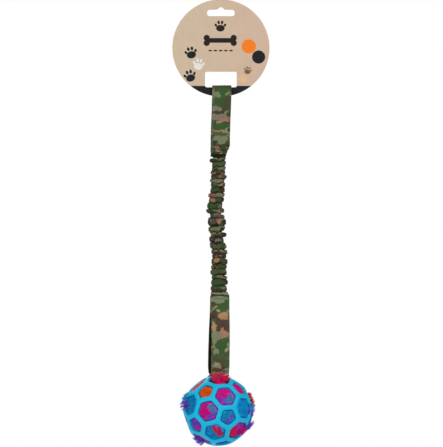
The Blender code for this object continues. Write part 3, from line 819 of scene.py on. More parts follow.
def sweep_strap(name, half, place, relief, thickness_at, fold_z):
    """A strap along a fold and both its legs.

    half is from strap_half. place puts (across, along, edge) in the toy, with edge 0 in the middle of the strap's
    width and 1 at its edge. relief gives how far the cloth stands out at a point and how much painted shade it
    gets there, and thickness_at the strap's thickness at a place along it.
    """
    run = [(Vector((p.x, p.y)), Vector((n.x, n.y)), 1) for p, n in reversed(half)]
    run += [(Vector((-p.x, p.y)), Vector((-n.x, n.y)), -1) for p, n in half[1:]]
    rings, travelled, last = [], 0.0, None
    for point, normal, leg in run:
        half_thickness = thickness_at(point.y) / 2
        middle = point + normal * half_thickness
        centre = Vector(place(middle.x, middle.y, 0))
        beyond = middle + normal * SHIFT
        out = (Vector(place(beyond.x, beyond.y, 0)) - centre).normalized()
        wide = Vector(place(middle.x, middle.y, 1)) - centre
        half_width = wide.length
        wide.normalize()
        travelled += (centre - last).length if last else 0.0
        last = centre
        dye_z = centre.z if leg < 0 else 2 * fold_z - centre.z
        ring = []
        for over, outward, cloth_across, side in strap_section(half_width, half_thickness - PLY_GAP):
            spot = centre + wide * over + out * outward
            stand, shade_share = relief(spot, side, leg)
            spot += out * stand
            dye = (spot.x, 0.0, dye_z + wide.z * over)
            # Painted shade on the inner faces and edges by their side, and in creases by the relief
            ring.append((spot, dye, (cloth_across, travelled, max(side, shade_share))))
        rings.append(ring)
    return skin(name, rings)


# How the handle's foot is drawn in where the gathers start
PUCKER_TOP_V = 132
PUCKER_END_V = 153
PUCKER_DEPTH = 0.85 * MM
HANDLE_OVERLAP = -1.0 * MM
HANDLE_STEPS = 46
# How far down its height the handle's gap is widest, as a share
HANDLE_GAP_WIDEST = 0.25
# Creases across the handle's foot: the row and column of the middle of each, how many rows it falls for each
# column to the right, how deep it is in millimetres, which also sets its painted shade, and half its height in
# rows
HANDLE_CREASES = (
    (142.6, 219, 0.05, 0.30, 0.9),
    (146.0, 219, 0.06, 0.85, 0.8),
    (149.6, 219, 0.16, 0.80, 0.7),
    (152.4, 219, -0.10, 0.85, 0.7),
)


def handle_relief(spot, side, leg):
    """Soft waves down the handle, and pleats and creases across it near its foot, with painted shade in the
    creases and on the inner faces.
    """
    v = row(spot.z)
    waves = 0.18 * MM * ripple(spot, 90, 5.0)
    drawn = smooth(PUCKER_TOP_V, PUCKER_END_V, v)
    pleat = noise.noise(Vector((spot.x * 70, leg * 9.0, spot.z * 520 + spot.x * 60)))
    stand, shade_share = waves + drawn * PUCKER_DEPTH * pleat, 0.0
    for middle_v, middle_u, fall, deep, half in HANDLE_CREASES:
        off = (v - middle_v - fall * leg * -1 * (SLOT_U + spot.x / PIXEL - middle_u)) / half
        pinch = math.exp(-off * off) * (0.75 + 0.5 * ripple(spot, 150, middle_v))
        stand -= deep * MM * pinch
        # Painted shade in the crease, more where it is deeper
        shade_share = max(shade_share, 1.3 * deep * pinch)
    # The inner faces get full painted shade
    if side > 0.5:
        return min(stand, 0.0) * 0.3, 1.0
    return stand, shade_share


def handle_middle(z):
    """Where the handle's middle lies across the toy at a height."""
    narrow_z = HANDLE_END_Z + HANDLE_END_TAPER
    low = HANDLE_TOP_X + (HANDLE_LOW_X - HANDLE_TOP_X) * smooth(-FOLD_Z, -narrow_z, -z)
    return low + (HANDLE_END_X - HANDLE_LOW_X) * smooth(-narrow_z, -HANDLE_END_Z, -z)


def handle():
    """The strap handle: round a teardrop gap at the card's bar, and sewn to itself below."""
    side = []
    for step in range(HANDLE_STEPS + 1):
        share = (step / HANDLE_STEPS) ** 2
        bulge = math.sqrt(share / HANDLE_GAP_WIDEST) * ((1 - share) / (1 - HANDLE_GAP_WIDEST)) ** 1.5
        side.append((bulge * HANDLE_GAP / 2, HANDLE_GAP_HEIGHT * share))
    sewn = FOLD_Z - HANDLE_END_Z - HANDLE_GAP_HEIGHT + HANDLE_OVERLAP
    half = strap_half(side, sewn)

    def place(over, along, edge):
        z = FOLD_Z - along
        narrow = smooth(-HANDLE_END_Z - HANDLE_END_TAPER, -HANDLE_END_Z, -z)
        width = STRAP_WIDTH + (HANDLE_END_WIDTH - STRAP_WIDTH) * narrow
        drawn = smooth(PUCKER_TOP_V, PUCKER_END_V, row(z))
        width += 1.1 * MM * drawn * ripple((0, 0, z), 330, 7.0)
        middle = handle_middle(z) + 0.5 * MM * drawn * ripple((0, 0, z), 260, 1.0)
        return (middle + edge * width / 2, over, z)

    def thickness_at(along):
        end = HANDLE_OVERLAP - HANDLE_END_Z
        return STRAP_THICKNESS * (1 - END_THINNING * smooth(end - 1.4 * MM, end, along - FOLD_Z))

    mesh = sweep_strap("handle_strap", half, place, handle_relief, thickness_at, FOLD_Z)
    paint = camouflage("handle_camouflage", HANDLE_PATCHES, 0.0, 0.5, 1.6, 0.74, seam=True)
    strap = add_piece("handle_strap", mesh, paint, "camouflage")
    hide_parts("handle_loop")
    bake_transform(strap)


# How far the loop's edges curl in towards each other near the ball, how high above the rib they start to do so
# fully, and how high up it has faded out
LOOP_CURL = 3.2 * MM
LOOP_CURL_START = 3 * MM
LOOP_CURL_HEIGHT = 15.0 * MM


def loop_relief(spot, side, leg):
    """Soft waves down the loop, with its edges curled in towards the ball's rib, and full painted shade on its
    inner faces.
    """
    waves = 0.22 * MM * ripple(spot, 75, 9.0 + leg)
    small = 0.10 * MM * ripple((spot.x, spot.y, spot.z * 2), 230, 2.0)
    stand = waves + small
    over_rib = smooth(0, LOOP_CURL_START, spot.z - RIB_AXIS_Z)
    low = over_rib * (1 - smooth(0, LOOP_CURL_HEIGHT, spot.z - RIB_AXIS_Z))
    curl = LOOP_CURL * low * min(2 * (spot.x - LOOP_X) / STRAP_WIDTH, 1) ** 2
    # The inner faces get full painted shade
    if side > 0.5:
        return min(stand, 0.0) * 0.3 - curl, 1.0
    return stand - curl, 0.0


# How far the loop goes up into the hem, and the share of its width that it loses there
LOOP_OVERLAP = 4.0 * MM
LOOP_END_NARROWING = 0.14


def loop():
    """The strap loop that goes round the ball's top rib and is sewn into the hem."""
    side = []
    round_steps, leg_steps = 14, 84
    for step in range(round_steps):
        angle = math.pi / 2 * step / round_steps
        side.append((FOLD_RADIUS * math.sin(angle), -FOLD_RADIUS * math.cos(angle)))
    for step in range(leg_steps + 1):
        share = (step / leg_steps) ** 1.5
        side.append((FOLD_RADIUS * (1 - share**3), (LOOP_HEIGHT - LOOP_SEWN_HEIGHT) * share))
    half = strap_half(side, LOOP_SEWN_HEIGHT + LOOP_OVERLAP)

    def place(over, along, edge):
        # The five-sided hole behind the rib leaves less room to swing than the six-sided one in front
        neck = NECK_HEIGHT_BEHIND if over > 0 else NECK_HEIGHT
        widen = smooth(neck, neck + NECK_TAPER, along)
        wide = edge * (NECK_WIDTH + (STRAP_WIDTH - NECK_WIDTH) * widen) / 2
        wide *= 1 - LOOP_END_NARROWING * smooth(LOOP_HEIGHT, LOOP_HEIGHT + MM, along)
        twist = BALL_TWIST * (1 - smooth(LOOP_HEIGHT / 2, LOOP_HEIGHT, along))
        slope = math.tan(BALL_ROLL) * (1 - widen)
        strap_x = LOOP_X + (LOOP_TOP_X - LOOP_X) * smooth(0, LOOP_HEIGHT, along)
        middle = RIB_X + (strap_x - RIB_X) * widen
        x = middle + wide * math.cos(twist) - over * math.sin(twist)
        y = wide * math.sin(twist) + over * math.cos(twist)
        return (x, y, RIB_AXIS_Z + along + wide * slope)

    def thickness_at(along):
        return STRAP_THICKNESS * (1 - END_THINNING * smooth(LOOP_HEIGHT - MM, LOOP_HEIGHT + MM, along))

    fold_z = RIB_AXIS_Z - FOLD_RADIUS - STRAP_THICKNESS / 2
    mesh = sweep_strap("loop_strap", half, place, loop_relief, thickness_at, fold_z)
    paint = camouflage("loop_camouflage", LOOP_PATCHES, 0.0, 0.5, 1.3, 0.88)
    strap = add_piece("loop_strap", mesh, paint, "camouflage")
    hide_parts("ball_loop")
    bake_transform(strap)


# The gathers from the sleeve's top to its foot, in the photograph's rows and columns: the row of each at the
# sleeve's left, front and right, how far it stands out to the left and to the right, and half its height
GATHERS = (
    (160.6, 159.6, 159.2, 209.6, 225.9, 2.4),
    (166.6, 163.8, 162.4, 213.0, 225.9, 4.2),
    (168.6, 168.2, 168.0, 211.2, 225.7, 2.6),
    (172.6, 172.8, 172.6, 210.6, 225.3, 2.5),
    (176.4, 176.2, 177.2, 211.0, 226.6, 2.7),
    (180.6, 181.0, 180.2, 210.1, 224.4, 2.7),
    (184.8, 185.6, 184.8, 211.0, 225.3, 2.9),
    (190.6, 190.0, 190.2, 210.4, 224.8, 3.4),
    (195.2, 195.0, 195.0, 208.3, 224.6, 2.8),
    (199.8, 200.2, 199.8, 209.0, 223.9, 2.9),
    (205.8, 206.4, 205.2, 207.0, 222.4, 3.4),
    (211.0, 211.6, 210.4, 206.2, 224.3, 2.8),
    (215.2, 215.8, 216.8, 210.2, 224.7, 2.3),
    (221.6, 221.4, 222.4, 207.8, 226.2, 4.6),
    (229.6, 229.2, 227.4, 208.5, 225.0, 3.5),
    (233.8, 234.6, 234.8, 211.0, 226.6, 2.6),
    (239.4, 240.0, 240.2, 209.0, 223.6, 3.0),
    (245.8, 246.6, 245.4, 209.8, 226.3, 3.6),
    (251.6, 251.4, 252.2, 211.3, 227.6, 2.7),
    (256.0, 255.2, 256.4, 212.2, 226.4, 2.2),
    (261.6, 260.2, 262.0, 211.5, 227.6, 3.6),
    (267.4, 266.2, 266.8, 211.0, 226.8, 2.4),
    (272.2, 271.6, 272.2, 210.3, 226.8, 3.1),
    (277.4, 276.8, 278.2, 211.5, 227.4, 2.5),
    (282.6, 282.6, 281.6, 211.2, 227.9, 3.6),
    (288.2, 288.4, 288.2, 210.6, 227.0, 2.8),
)
# The sleeve's middle: rows and columns of the photograph
SLEEVE_SWAY = (
    (156, 218.3),
    (172, 218.0),
    (190, 217.4),
    (206, 215.2),
    (222, 216.8),
    (238, 216.6),
    (252, 219.2),
    (272, 218.8),
    (297, 219.4),
)
SLEEVE_START_V = 154.0
SLEEVE_STOP_V = 290.4
SLEEVE_ROWS = 440
SLEEVE_COLUMNS = 112
FRONT_REACH = 6.4 * MM
GROOVE = 1.1 * MM
# The wrinkles on the gathers: how deep they are in millimetres, how wide, as a share of their noise, how fine
# that noise and the noise of the patches with wrinkles are along the sleeve, and how much painted shade a
# wrinkle's valley gets
FOLD_DEPTH = 0.8
FOLD_SHARPNESS = 0.16
FOLD_SCALE = 260
FOLD_PATCH_SCALE = 130
FOLD_SHADE = 0.5
# Finer waves: how far each stands out in millimetres, how much finer it is along the sleeve, its scale and seed
FINE_WAVES = ((0.42, 1.8, 240, 1.0), (0.20, 1.6, 560, 4.0))
# How many rows a gather wanders up and down round the sleeve
GATHER_WANDER = 2.2
# How much painted shade the underside of a gather gets, as though lit from above
UNDERSIDE_SHADE = 0.55
CREASE_WIDE = 7.3 * MM
CREASE_DEEP = 3.6 * MM
END_WIDE = 9.6 * MM
END_DEEP = 1.9 * MM
COLLAR_ROWS = 3.4
# How many rows of the collar are rounded off at the top, and by how much
COLLAR_ROUND_ROWS = 1.6
COLLAR_ROUND_WIDE = 0.8 * MM
COLLAR_ROUND_DEEP = 0.3 * MM
# The flat cloth: twice the strap's width round, and as long as the sleeve is when it is drawn out
SLEEVE_CLOTH_LENGTH = 281 * MM
SLEEVE_WALL = 0.4 * MM
# The radius by which a bearing round the sleeve becomes a way across its weave
WEAVE_RADIUS = 7.5 * MM


def sleeve_middle(v):
    """Where the sleeve's middle lies across the toy, at a row of the photograph."""
    return across(between(SLEEVE_SWAY, v))


def gather_heights(v, right, left, front, back):
    """How far the sleeve stands out from its middle on one bearing, and how high up a gather that is, less the
    painted shade in the creases between gathers and on their undersides.

    The bearing is given as shares of the four sides.
    """
    ended = 1 - smooth(SLEEVE_START_V + COLLAR_ROWS - 1, SLEEVE_START_V + COLLAR_ROWS, v)
    ended += smooth(SLEEVE_STOP_V - COLLAR_ROWS, SLEEVE_STOP_V, v)
    rounded = 1 - smooth(SLEEVE_START_V, SLEEVE_START_V + COLLAR_ROUND_ROWS, v)
    wide = CREASE_WIDE + (END_WIDE - CREASE_WIDE) * ended - COLLAR_ROUND_WIDE * rounded
    deep = CREASE_DEEP + (END_DEEP - CREASE_DEEP) * ended - COLLAR_ROUND_DEEP * rounded
    crease = wide * (right + left) + deep * (front + back)
    best, highest, second, under = crease, 0.0, 0.0, 0.0
    for index, (left_v, front_v, right_v, left_u, right_u, half) in enumerate(GATHERS):
        back_v = (left_v + right_v) / 2 + 1.4 * math.sin(2.3 * index)
        middle_v = right_v * right + left_v * left + front_v * front + back_v * back
        off = (v - middle_v) / half
        if abs(off) >= 1:
            continue
        middle_x = sleeve_middle(middle_v)
        reach = (across(right_u) - middle_x) * right + (middle_x - across(left_u)) * left
        reach += FRONT_REACH * (1 + 0.07 * math.sin(1.7 * index)) * front
        reach += FRONT_REACH * (1 + 0.07 * math.sin(2.9 * index + 1)) * back
        height = math.sqrt(1 - abs(off) ** (2 + 0.5 * (right + left)))
        best = max(best, crease + (reach - crease) * height)
        if height > highest:
            under = off
        highest, second = max(highest, height), max(second, min(highest, height))
    # Painted shade: the creases between gathers and the gathers' undersides are given less light
    pinched = 1 - smooth(0, 0.55, highest - second)
    shown = min(1 - pinched, smooth(0.2, 0.85, highest) + 0.3 * (right + left))
    return best - GROOVE * pinched * (1 - ended), shown - UNDERSIDE_SHADE * smooth(0, 0.9, under)


def sleeve():
    """The gathered tube of cloth, drawn in on its elastic, with its inner face."""
    outer, inner = [], []
    for step in range(SLEEVE_ROWS + 1):
        v = SLEEVE_START_V + (SLEEVE_STOP_V - SLEEVE_START_V) * step / SLEEVE_ROWS
        middle_x, z = sleeve_middle(v), up(v)
        outer.append([])
        inner.append([])
        for k in range(SLEEVE_COLUMNS):
            angle = math.tau * k / SLEEVE_COLUMNS
            over, deep = math.cos(angle), math.sin(angle)
            shares = (max(over, 0) ** 2, max(-over, 0) ** 2, max(-deep, 0) ** 2, max(deep, 0) ** 2)
            wander = GATHER_WANDER * ripple((over * 0.01, deep * 0.01, z), 150, 3.0)
            wander *= max(abs(deep) - 0.2, 0)
            reach, height = gather_heights(v + wander, *shares)
            spot = Vector((middle_x + reach * over, reach * deep, z))
            fine = 0.0
            for stand, closer, scale, seed in FINE_WAVES:
                fine += stand * ripple((spot.x, spot.y, z * closer), scale, seed)
            fold = noise.noise(Vector((1.1 * over, 1.1 * deep, FOLD_SCALE * z + 2.4 * over - 1.6 * deep)))
            valley = max(1 - abs(fold) / FOLD_SHARPNESS, 0.0)
            valley *= smooth(-0.1, 0.25, noise.noise(Vector((2 * over, 2 * deep, FOLD_PATCH_SCALE * z + 9))))
            fine -= FOLD_DEPTH * valley
            spot += fine * MM * Vector((over, deep, 0))
            along = z * SLEEVE_CLOTH_LENGTH / (SLEEVE_TOP_Z - SLEEVE_END_Z)
            # Painted shade in the creases, under the gathers and in the wrinkles' valleys
            shade_share = max(1 - height, FOLD_SHADE * valley)
            outer[-1].append((spot, tuple(spot), (angle * WEAVE_RADIUS, along, shade_share)))
            under = spot - SLEEVE_WALL * Vector((over, deep, 0))
            # The inner face gets full painted shade
            inner[-1].append((under, tuple(under), (angle * WEAVE_RADIUS, along, 1.0)))
    mesh = skin("gathered_sleeve", outer + inner[::-1], lids=False)
    paint = camouflage("sleeve_camouflage", SLEEVE_PATCHES, -6 * MM, 9 * MM, 2.4, 0.64)
    piece = add_piece("gathered_sleeve", mesh, paint, "camouflage")
    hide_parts("bungee_sleeve")
    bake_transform(piece)


ELASTIC_WIDTH = 6.4 * MM
ELASTIC_THICKNESS = 2.4 * MM


def elastic():
    """The flat elastic inside the sleeve, with ribs across it."""
    rings = []
    steps = 320
    for step in range(steps + 1):
        z = SLEEVE_TOP_Z + (SLEEVE_END_Z - SLEEVE_TOP_Z) * step / steps
        middle_x = sleeve_middle(row(z))
        ribbed = 1 + 0.05 * math.cos(math.pi * step)
        ring = []
        section = strap_section(ELASTIC_WIDTH / 2, ELASTIC_THICKNESS / 2 * ribbed)
        for over, outward, cloth_across, side in section:
            spot = (middle_x + over, -outward, z)
            ring.append((spot, spot, (cloth_across, -z, side)))
        rings.append(ring)
    piece = add_piece("elastic_band", skin("elastic_band", rings), elastic_material(), "elastic")
    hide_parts("bungee_elastic")
    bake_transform(piece)


# The hem's outline in the photograph: its row, its left and right columns, and how thick it is
HEM_PROFILE = (
    (287.8, 212.0, 225.6, 3.6),
    (288.8, 211.2, 226.8, 4.6),
    (290.2, 211.0, 226.9, 4.4),
    (291.1, 211.6, 226.2, 3.4),
    (292.0, 210.8, 227.4, 4.4),
    (293.0, 210.6, 228.2, 4.9),
    (293.9, 210.9, 228.3, 4.3),
    (294.6, 210.8, 228.9, 4.8),
    (295.4, 210.6, 229.3, 4.8),
    (295.9, 210.7, 229.3, 4.1),
    (296.2, 211.0, 228.8, 3.2),
)


def hem():
    """The sleeve's sewn foot: folded over twice, with painted shade along its crease and a painted highlight
    along its edge.
    """
    rings = []
    steps = 5
    rows = []
    for upper, lower in zip(HEM_PROFILE, HEM_PROFILE[1:]):
        for step in range(steps):
            share = smooth(0, steps, step)
            rows.append([a + (b - a) * share for a, b in zip(upper, lower)])
    rows.append(list(HEM_PROFILE[-1]))
    for v, left_u, right_u, thick in rows:
        left, right = across(left_u), across(right_u)
        middle_x, half_width = (left + right) / 2, (right - left) / 2
        ring = []
        for over, outward, cloth_across, side in strap_section(half_width, thick * MM / 2):
            spot = Vector((middle_x + over, -outward, up(v)))
            spot.y += 0.16 * MM * ripple(spot, 240, 6.0)
            ring.append((spot, tuple(spot), (cloth_across, -up(v), side)))
        rings.append(ring)
    paint = camouflage("hem_camouflage", HEM_PATCHES, 0.0, 0.5, 2.0, 0.74)
    piece = add_piece("hem_band", skin("hem_band", rings), paint, "camouflage")
    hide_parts("sleeve_hem")
    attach(piece, "sleeve_end")


# How far out the hem's faces lie where its tacks are
HEM_FACE = 2.25 * MM
# Bar tacks: rows of stitches that slant to either side in turn
STITCH_LENGTH = 1.9 * MM
STITCH_WIDTH = 0.42 * MM
STITCH_PITCH = 0.85 * MM
STITCH_SLANT = math.radians(24)


def tack(node, body, relief_y):
    """A bar of close stitches over a row that the frame places."""
    low, high = (Vector(corner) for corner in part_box(node))
    middle = (low + high) / 2
    shape = bmesh.new()
    count = round(TACK_WIDTH / STITCH_PITCH)
    for index in range(count + 1):
        x = middle.x - TACK_WIDTH / 2 + TACK_WIDTH * index / count
        slant = STITCH_SLANT if index % 2 else -STITCH_SLANT
        made = bmesh.ops.create_icosphere(shape, subdivisions=2, radius=0.5)
        size = Matrix.Diagonal((STITCH_WIDTH, STITCH_WIDTH, STITCH_LENGTH, 1))
        turn = Matrix.Rotation(slant, 4, "Y")
        face_y = relief_y(x, middle.z, -1 if middle.y < 0 else 1)
        put = Matrix.Translation((x, face_y, middle.z))
        bmesh.ops.transform(shape, matrix=put @ turn @ size, verts=made["verts"])
    name = f"{node}_stitches"
    piece = add_piece(name, mesh_from(shape, name), THREAD, "thread")
    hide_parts(node)
    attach(piece, body)


def tacks():
    """The rows of stitches on the handle, the hem and the loop, front and back."""

    def on_handle(x, z, side):
        spot = Vector((x, side * STRAP_THICKNESS, z))
        return side * (STRAP_THICKNESS + handle_relief(spot, 0.0, side)[0])

    def on_hem(x, z, side):
        return side * HEM_FACE

    def on_loop(x, z, side):
        spot = Vector((x, side * STRAP_THICKNESS, z))
        return side * (STRAP_THICKNESS + loop_relief(spot, 0.0, side)[0])

    for name, body, relief_y in (
        ("handle_tack", "handle", on_handle),
        ("hem_tack", "sleeve_end", on_hem),
        ("loop_tack", "loop", on_loop),
    ):
        for face in ("front", "back"):
            tack(f"{name}_{face}", body, relief_y)


def cage():
    """A truncated icosahedron about the origin, with a side between a hexagon and a pentagon on top of it."""
    shape = bmesh.new()
    bmesh.ops.create_icosphere(shape, subdivisions=1, radius=1)
    geometry = list(shape.verts) + list(shape.edges)
    cut = {"offset": 100 / 3, "offset_type": "PERCENT", "affect": "VERTICES", "segments": 1}
    bmesh.ops.bevel(shape, geom=geometry, **cut)
    rib = next(edge for edge in shape.edges if {len(face.verts) for face in edge.link_faces} == {5, 6})
    hexagon = next(face for face in rib.link_faces if len(face.verts) == 6)
    above = (rib.verts[0].co + rib.verts[1].co).normalized()
    front = hexagon.calc_center_median()
    back = (above * front.dot(above) - front).normalized()
    ball_turn = Matrix.Rotation(BALL_TWIST, 3, "Z") @ Matrix.Rotation(-BALL_ROLL, 3, "Y")
    turn = ball_turn @ Matrix((back.cross(above), back, above))
    for vert in shape.verts:
        vert.co = CAGE_RADIUS * (turn @ vert.co).normalized()
    shape.normal_update()
    return shape


# The moulding of the ribs: how many steps there are along each side of the cage, how round the holes' corners
# and the ribs' edges are, how much the ribs are crowned, and how far out the wall's middle lies, with the share
# of the cage's flatness that it keeps
SIDE_STEPS = 14
HOLE_CORNER = 3.8 * MM
RIB_EDGE = 1.3 * MM
RIB_CROWN = 0.35 * MM
WALL_RADIUS = 39.8 * MM
WALL_FLATNESS = 0.3


def hole_reach(way, middle, corners):
    """How far a hole with rounded corners reaches from its middle, along a way in its face's plane."""
    half_turn = math.pi / len(corners)
    apothem = ((corners[0] + corners[1]) / 2 - middle).length - RIB_WIDTH / 2
    nearest = max(way.dot((corner - middle).normalized()) for corner in corners)
    off_corner = math.acos(min(nearest, 1.0))
    corner_centre = (apothem - HOLE_CORNER) / math.cos(half_turn)
    if off_corner > half_turn - math.atan2(corner_centre * math.sin(half_turn), apothem):
        return apothem / math.cos(half_turn - off_corner)
    inside = HOLE_CORNER**2 - (corner_centre * math.sin(off_corner)) ** 2
    return corner_centre * math.cos(off_corner) + math.sqrt(inside)


def rib_profile(half_width):
    """The rib's section from its middle outside to its middle inside: (share towards the hole, depth)."""
    edge = RIB_EDGE / half_width
    half_depth = RIB_DEPTH / 2
    outside = [(share, half_depth - RIB_CROWN * share**2) for share in (0.0, 0.22, 0.42)]
    shoulder = half_depth - RIB_CROWN
    for step in range(5):
        angle = math.pi / 2 * step / 4
        outside.append((1 - edge + edge * math.sin(angle), shoulder - RIB_EDGE * (1 - math.cos(angle))))
    wall = [(1.0, shoulder - RIB_EDGE - share * 2 * (shoulder - RIB_EDGE)) for share in (0.25, 0.5, 0.75)]
    return outside + wall + [(share, -depth) for share, depth in reversed(outside)]


def lattice():
    """The rubber ball: moulded ribs along the cage's sides, and a hole with round corners in each face."""
    holes = cage()
    shape = bmesh.new()
    for face in holes.faces:
        middle = face.calc_center_median()
        corners = [vert.co.copy() for vert in face.verts]
        for start, end in zip(corners, corners[1:] + corners[:1]):
            rows = []
            for step in range(SIDE_STEPS + 1):
                share = 0.5 - 0.5 * math.cos(math.pi * step / SIDE_STEPS)
                spine = start.lerp(end, share)
                way = (spine - middle).normalized()
                brink = middle + way * hole_reach(way, middle, corners)
                reach = WALL_RADIUS + WALL_FLATNESS * (spine.length - WALL_RADIUS)
                section = []
                for inward, depth in rib_profile((spine - brink).length):
                    outward = spine.lerp(brink, inward).normalized()
                    section.append(shape.verts.new(BALL_CENTRE + outward * (reach + depth)))
                rows.append(section)
            for before, after in zip(rows, rows[1:]):
                for k in range(len(before) - 1):
                    shape.faces.new((before[k], before[k + 1], after[k + 1], after[k]))
    holes.free()
    bmesh.ops.remove_doubles(shape, verts=shape.verts, dist=0.01 * MM)
    mesh = mesh_from(shape, "rubber_lattice")
    ball = add_piece("rubber_lattice", mesh, rubber_material(), "cyan_rubber")
    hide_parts("lattice_ball")
    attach(ball, "ball")


# The slot of a dye that isn't named as its slot is
DYE_SLOTS = {"crimson_fur": "pink_fur"}
# The fur in the holes that the front shows: each hole's middle in the photograph, then for each colour its dye,
# and how far across and down from the middle it is packed, as shares of the hole
FRONT_FUR = (
    (205.4, 389.3, (("orange_fur", 0, 0),)),
    (226.1, 393.9, (("pink_fur", -0.35, -0.2), ("blue_fur", 0.5, 0.5), ("purple_fur", -0.4, 0.85))),
    (207.7, 409.4, (("pink_fur", -0.35, 0.0), ("purple_fur", 0.55, 0.6), ("teal_fur", 0.75, -0.45))),
    (228.6, 415.3, (("teal_fur", -0.3, -0.2), ("purple_fur", 0.45, 0.45))),
    (189.7, 402.8, (("teal_fur", -0.3, -0.1), ("blue_fur", 0.5, 0.3))),
    (195.5, 423.5, (("purple_fur", 0, -0.3), ("pink_fur", 0.1, 0.6))),
    (215.3, 431.4, (("blue_fur", -0.4, 0.1), ("crimson_fur", 0.4, -0.3))),
    (245.0, 406.4, (("blue_fur", 0, 0),)),
    (238.3, 429.6, (("crimson_fur", -0.6, 0.2), ("pink_fur", 0.1, 0.3), ("purple_fur", 0.7, -0.3))),
    (239.4, 386.6, (("pink_fur", 0, 0), ("crimson_fur", 0.7, 0.2))),
    (219.5, 377.8, (("crimson_fur", 0, -0.2), ("pink_fur", 0, 0.7))),
    (202.0, 438.5, (("orange_fur", -0.1, -0.4), ("purple_fur", 0, 0.4))),
    (223.5, 441.9, (("blue_fur", 0, 0),)),
)
# How near the middle of a hole such a place has to be
SAME_HOLE = 6 * MM
SECOND_FUR = {
    "blue_fur": "purple_fur",
    "orange_fur": "pink_fur",
    "pink_fur": "purple_fur",
    "purple_fur": "pink_fur",
    "teal_fur": "blue_fur",
}
# How far out in a hole behind the second colour is packed, and how far the other way the first one is
SECOND_FUR_OFF = 0.75
FIRST_FUR_OFF = -0.4
FUR_SEED = 41
# Tufts that stand out past the ribs: columns and rows where the first and the last of its locks start, those
# where they end, how far the tips stand off the ball in millimetres, its dye and its number of locks
TUFTS = (
    ((189.5, 401.5), (189.5, 407.0), (180.6, 403.0), (180.4, 409.0), 0.6, "purple_fur", 9),
    ((189.0, 397.0), (189.5, 402.0), (183.0, 396.4), (181.4, 403.0), 0.6, "blue_fur", 9),
    ((190.5, 394.5), (189.0, 397.0), (186.0, 393.4), (184.0, 396.6), 0.5, "teal_fur", 6),
    ((243.0, 424.5), (241.0, 429.0), (256.0, 420.8), (250.0, 427.4), 0.6, "purple_fur", 16),
    ((238.5, 426.0), (236.0, 431.5), (250.5, 426.0), (243.6, 433.2), 0.4, "pink_fur", 16),
    ((247.5, 394.0), (248.5, 404.0), (250.8, 393.0), (255.2, 406.4), 0.5, "crimson_fur", 16),
    ((247.5, 403.0), (247.5, 410.0), (254.8, 405.4), (254.4, 411.4), 0.4, "blue_fur", 8),
    ((247.0, 409.0), (246.5, 413.0), (254.2, 411.4), (252.6, 417.2), 0.4, "purple_fur", 8),
    ((201.0, 436.6), (205.0, 439.6), (195.6, 441.0), (200.0, 445.4), 0.5, "purple_fur", 14),
    ((199.6, 434.6), (201.0, 436.4), (193.0, 437.2), (195.0, 440.0), 0.5, "purple_fur", 8),
)
STRAND_STEPS = 7
STRAND_RADIUS = 0.12 * MM
LOCK_STRANDS = 23
LOCK_SPREAD = 1.15 * MM
# How many locks lie over a hole of the given radius
HOLE_LOCKS = 21
LOCKS_RADIUS = 9 * MM
GOLDEN_TURN = math.pi * (3 - math.sqrt(5))
# The tufts' locks: how much they arch, how loose they are, how far their roots lie from the ball's middle, how
# far their tips do before they stand off it, in millimetres, how much the roots are scattered in pixels and the
# tips in millimetres, and how far in front of the ball's middle the tips stay
TUFT_LIFT = 3.6 * MM
TUFT_SPREAD = 0.8 * MM
TUFT_ROOT_RADIUS = 38.5 * MM
TUFT_TIP_RADIUS = 42.6
TUFT_ROOT_SCATTER = 0.7
TUFT_TIP_SCATTER = 0.6
TUFT_FRONT = 6 * MM
# The fur round the strap's foot: how many locks a face has, and for each face its side, how far the middle of
# its tips lies from the rib's, and half their width
NECK_LOCKS = 90
NECK_FUR_FACES = ((-1, 2.6 * MM, 11.4 * MM), (1, 7.6 * MM, 9.0 * MM))
# How far the tips stand off the strap, how much farther the last of them do, how high they rise above the rib,
# the shares of that which they lose at the sides and farther out, how much they arch and how loose they are
NECK_FUR_STAND = 4.2 * MM
NECK_FUR_REACH = 5 * MM
NECK_FUR_HEIGHT = 5.9 * MM
NECK_FUR_ROUND = 0.1
NECK_FUR_DROP = 0.8
NECK_FUR_LIFT = 1.6 * MM
NECK_FUR_SPREAD = 1.1 * MM
# Half the width of the roots, how far the nearest of them lie from the rib, how much farther the others do, and
# how far they lie from the ball's middle
NECK_ROOT_HALF = 8.0 * MM
NECK_ROOT_NEAR = 9.0 * MM
NECK_ROOT_DEEP = 10.0 * MM
NECK_ROOT_RADIUS = 40.0 * MM


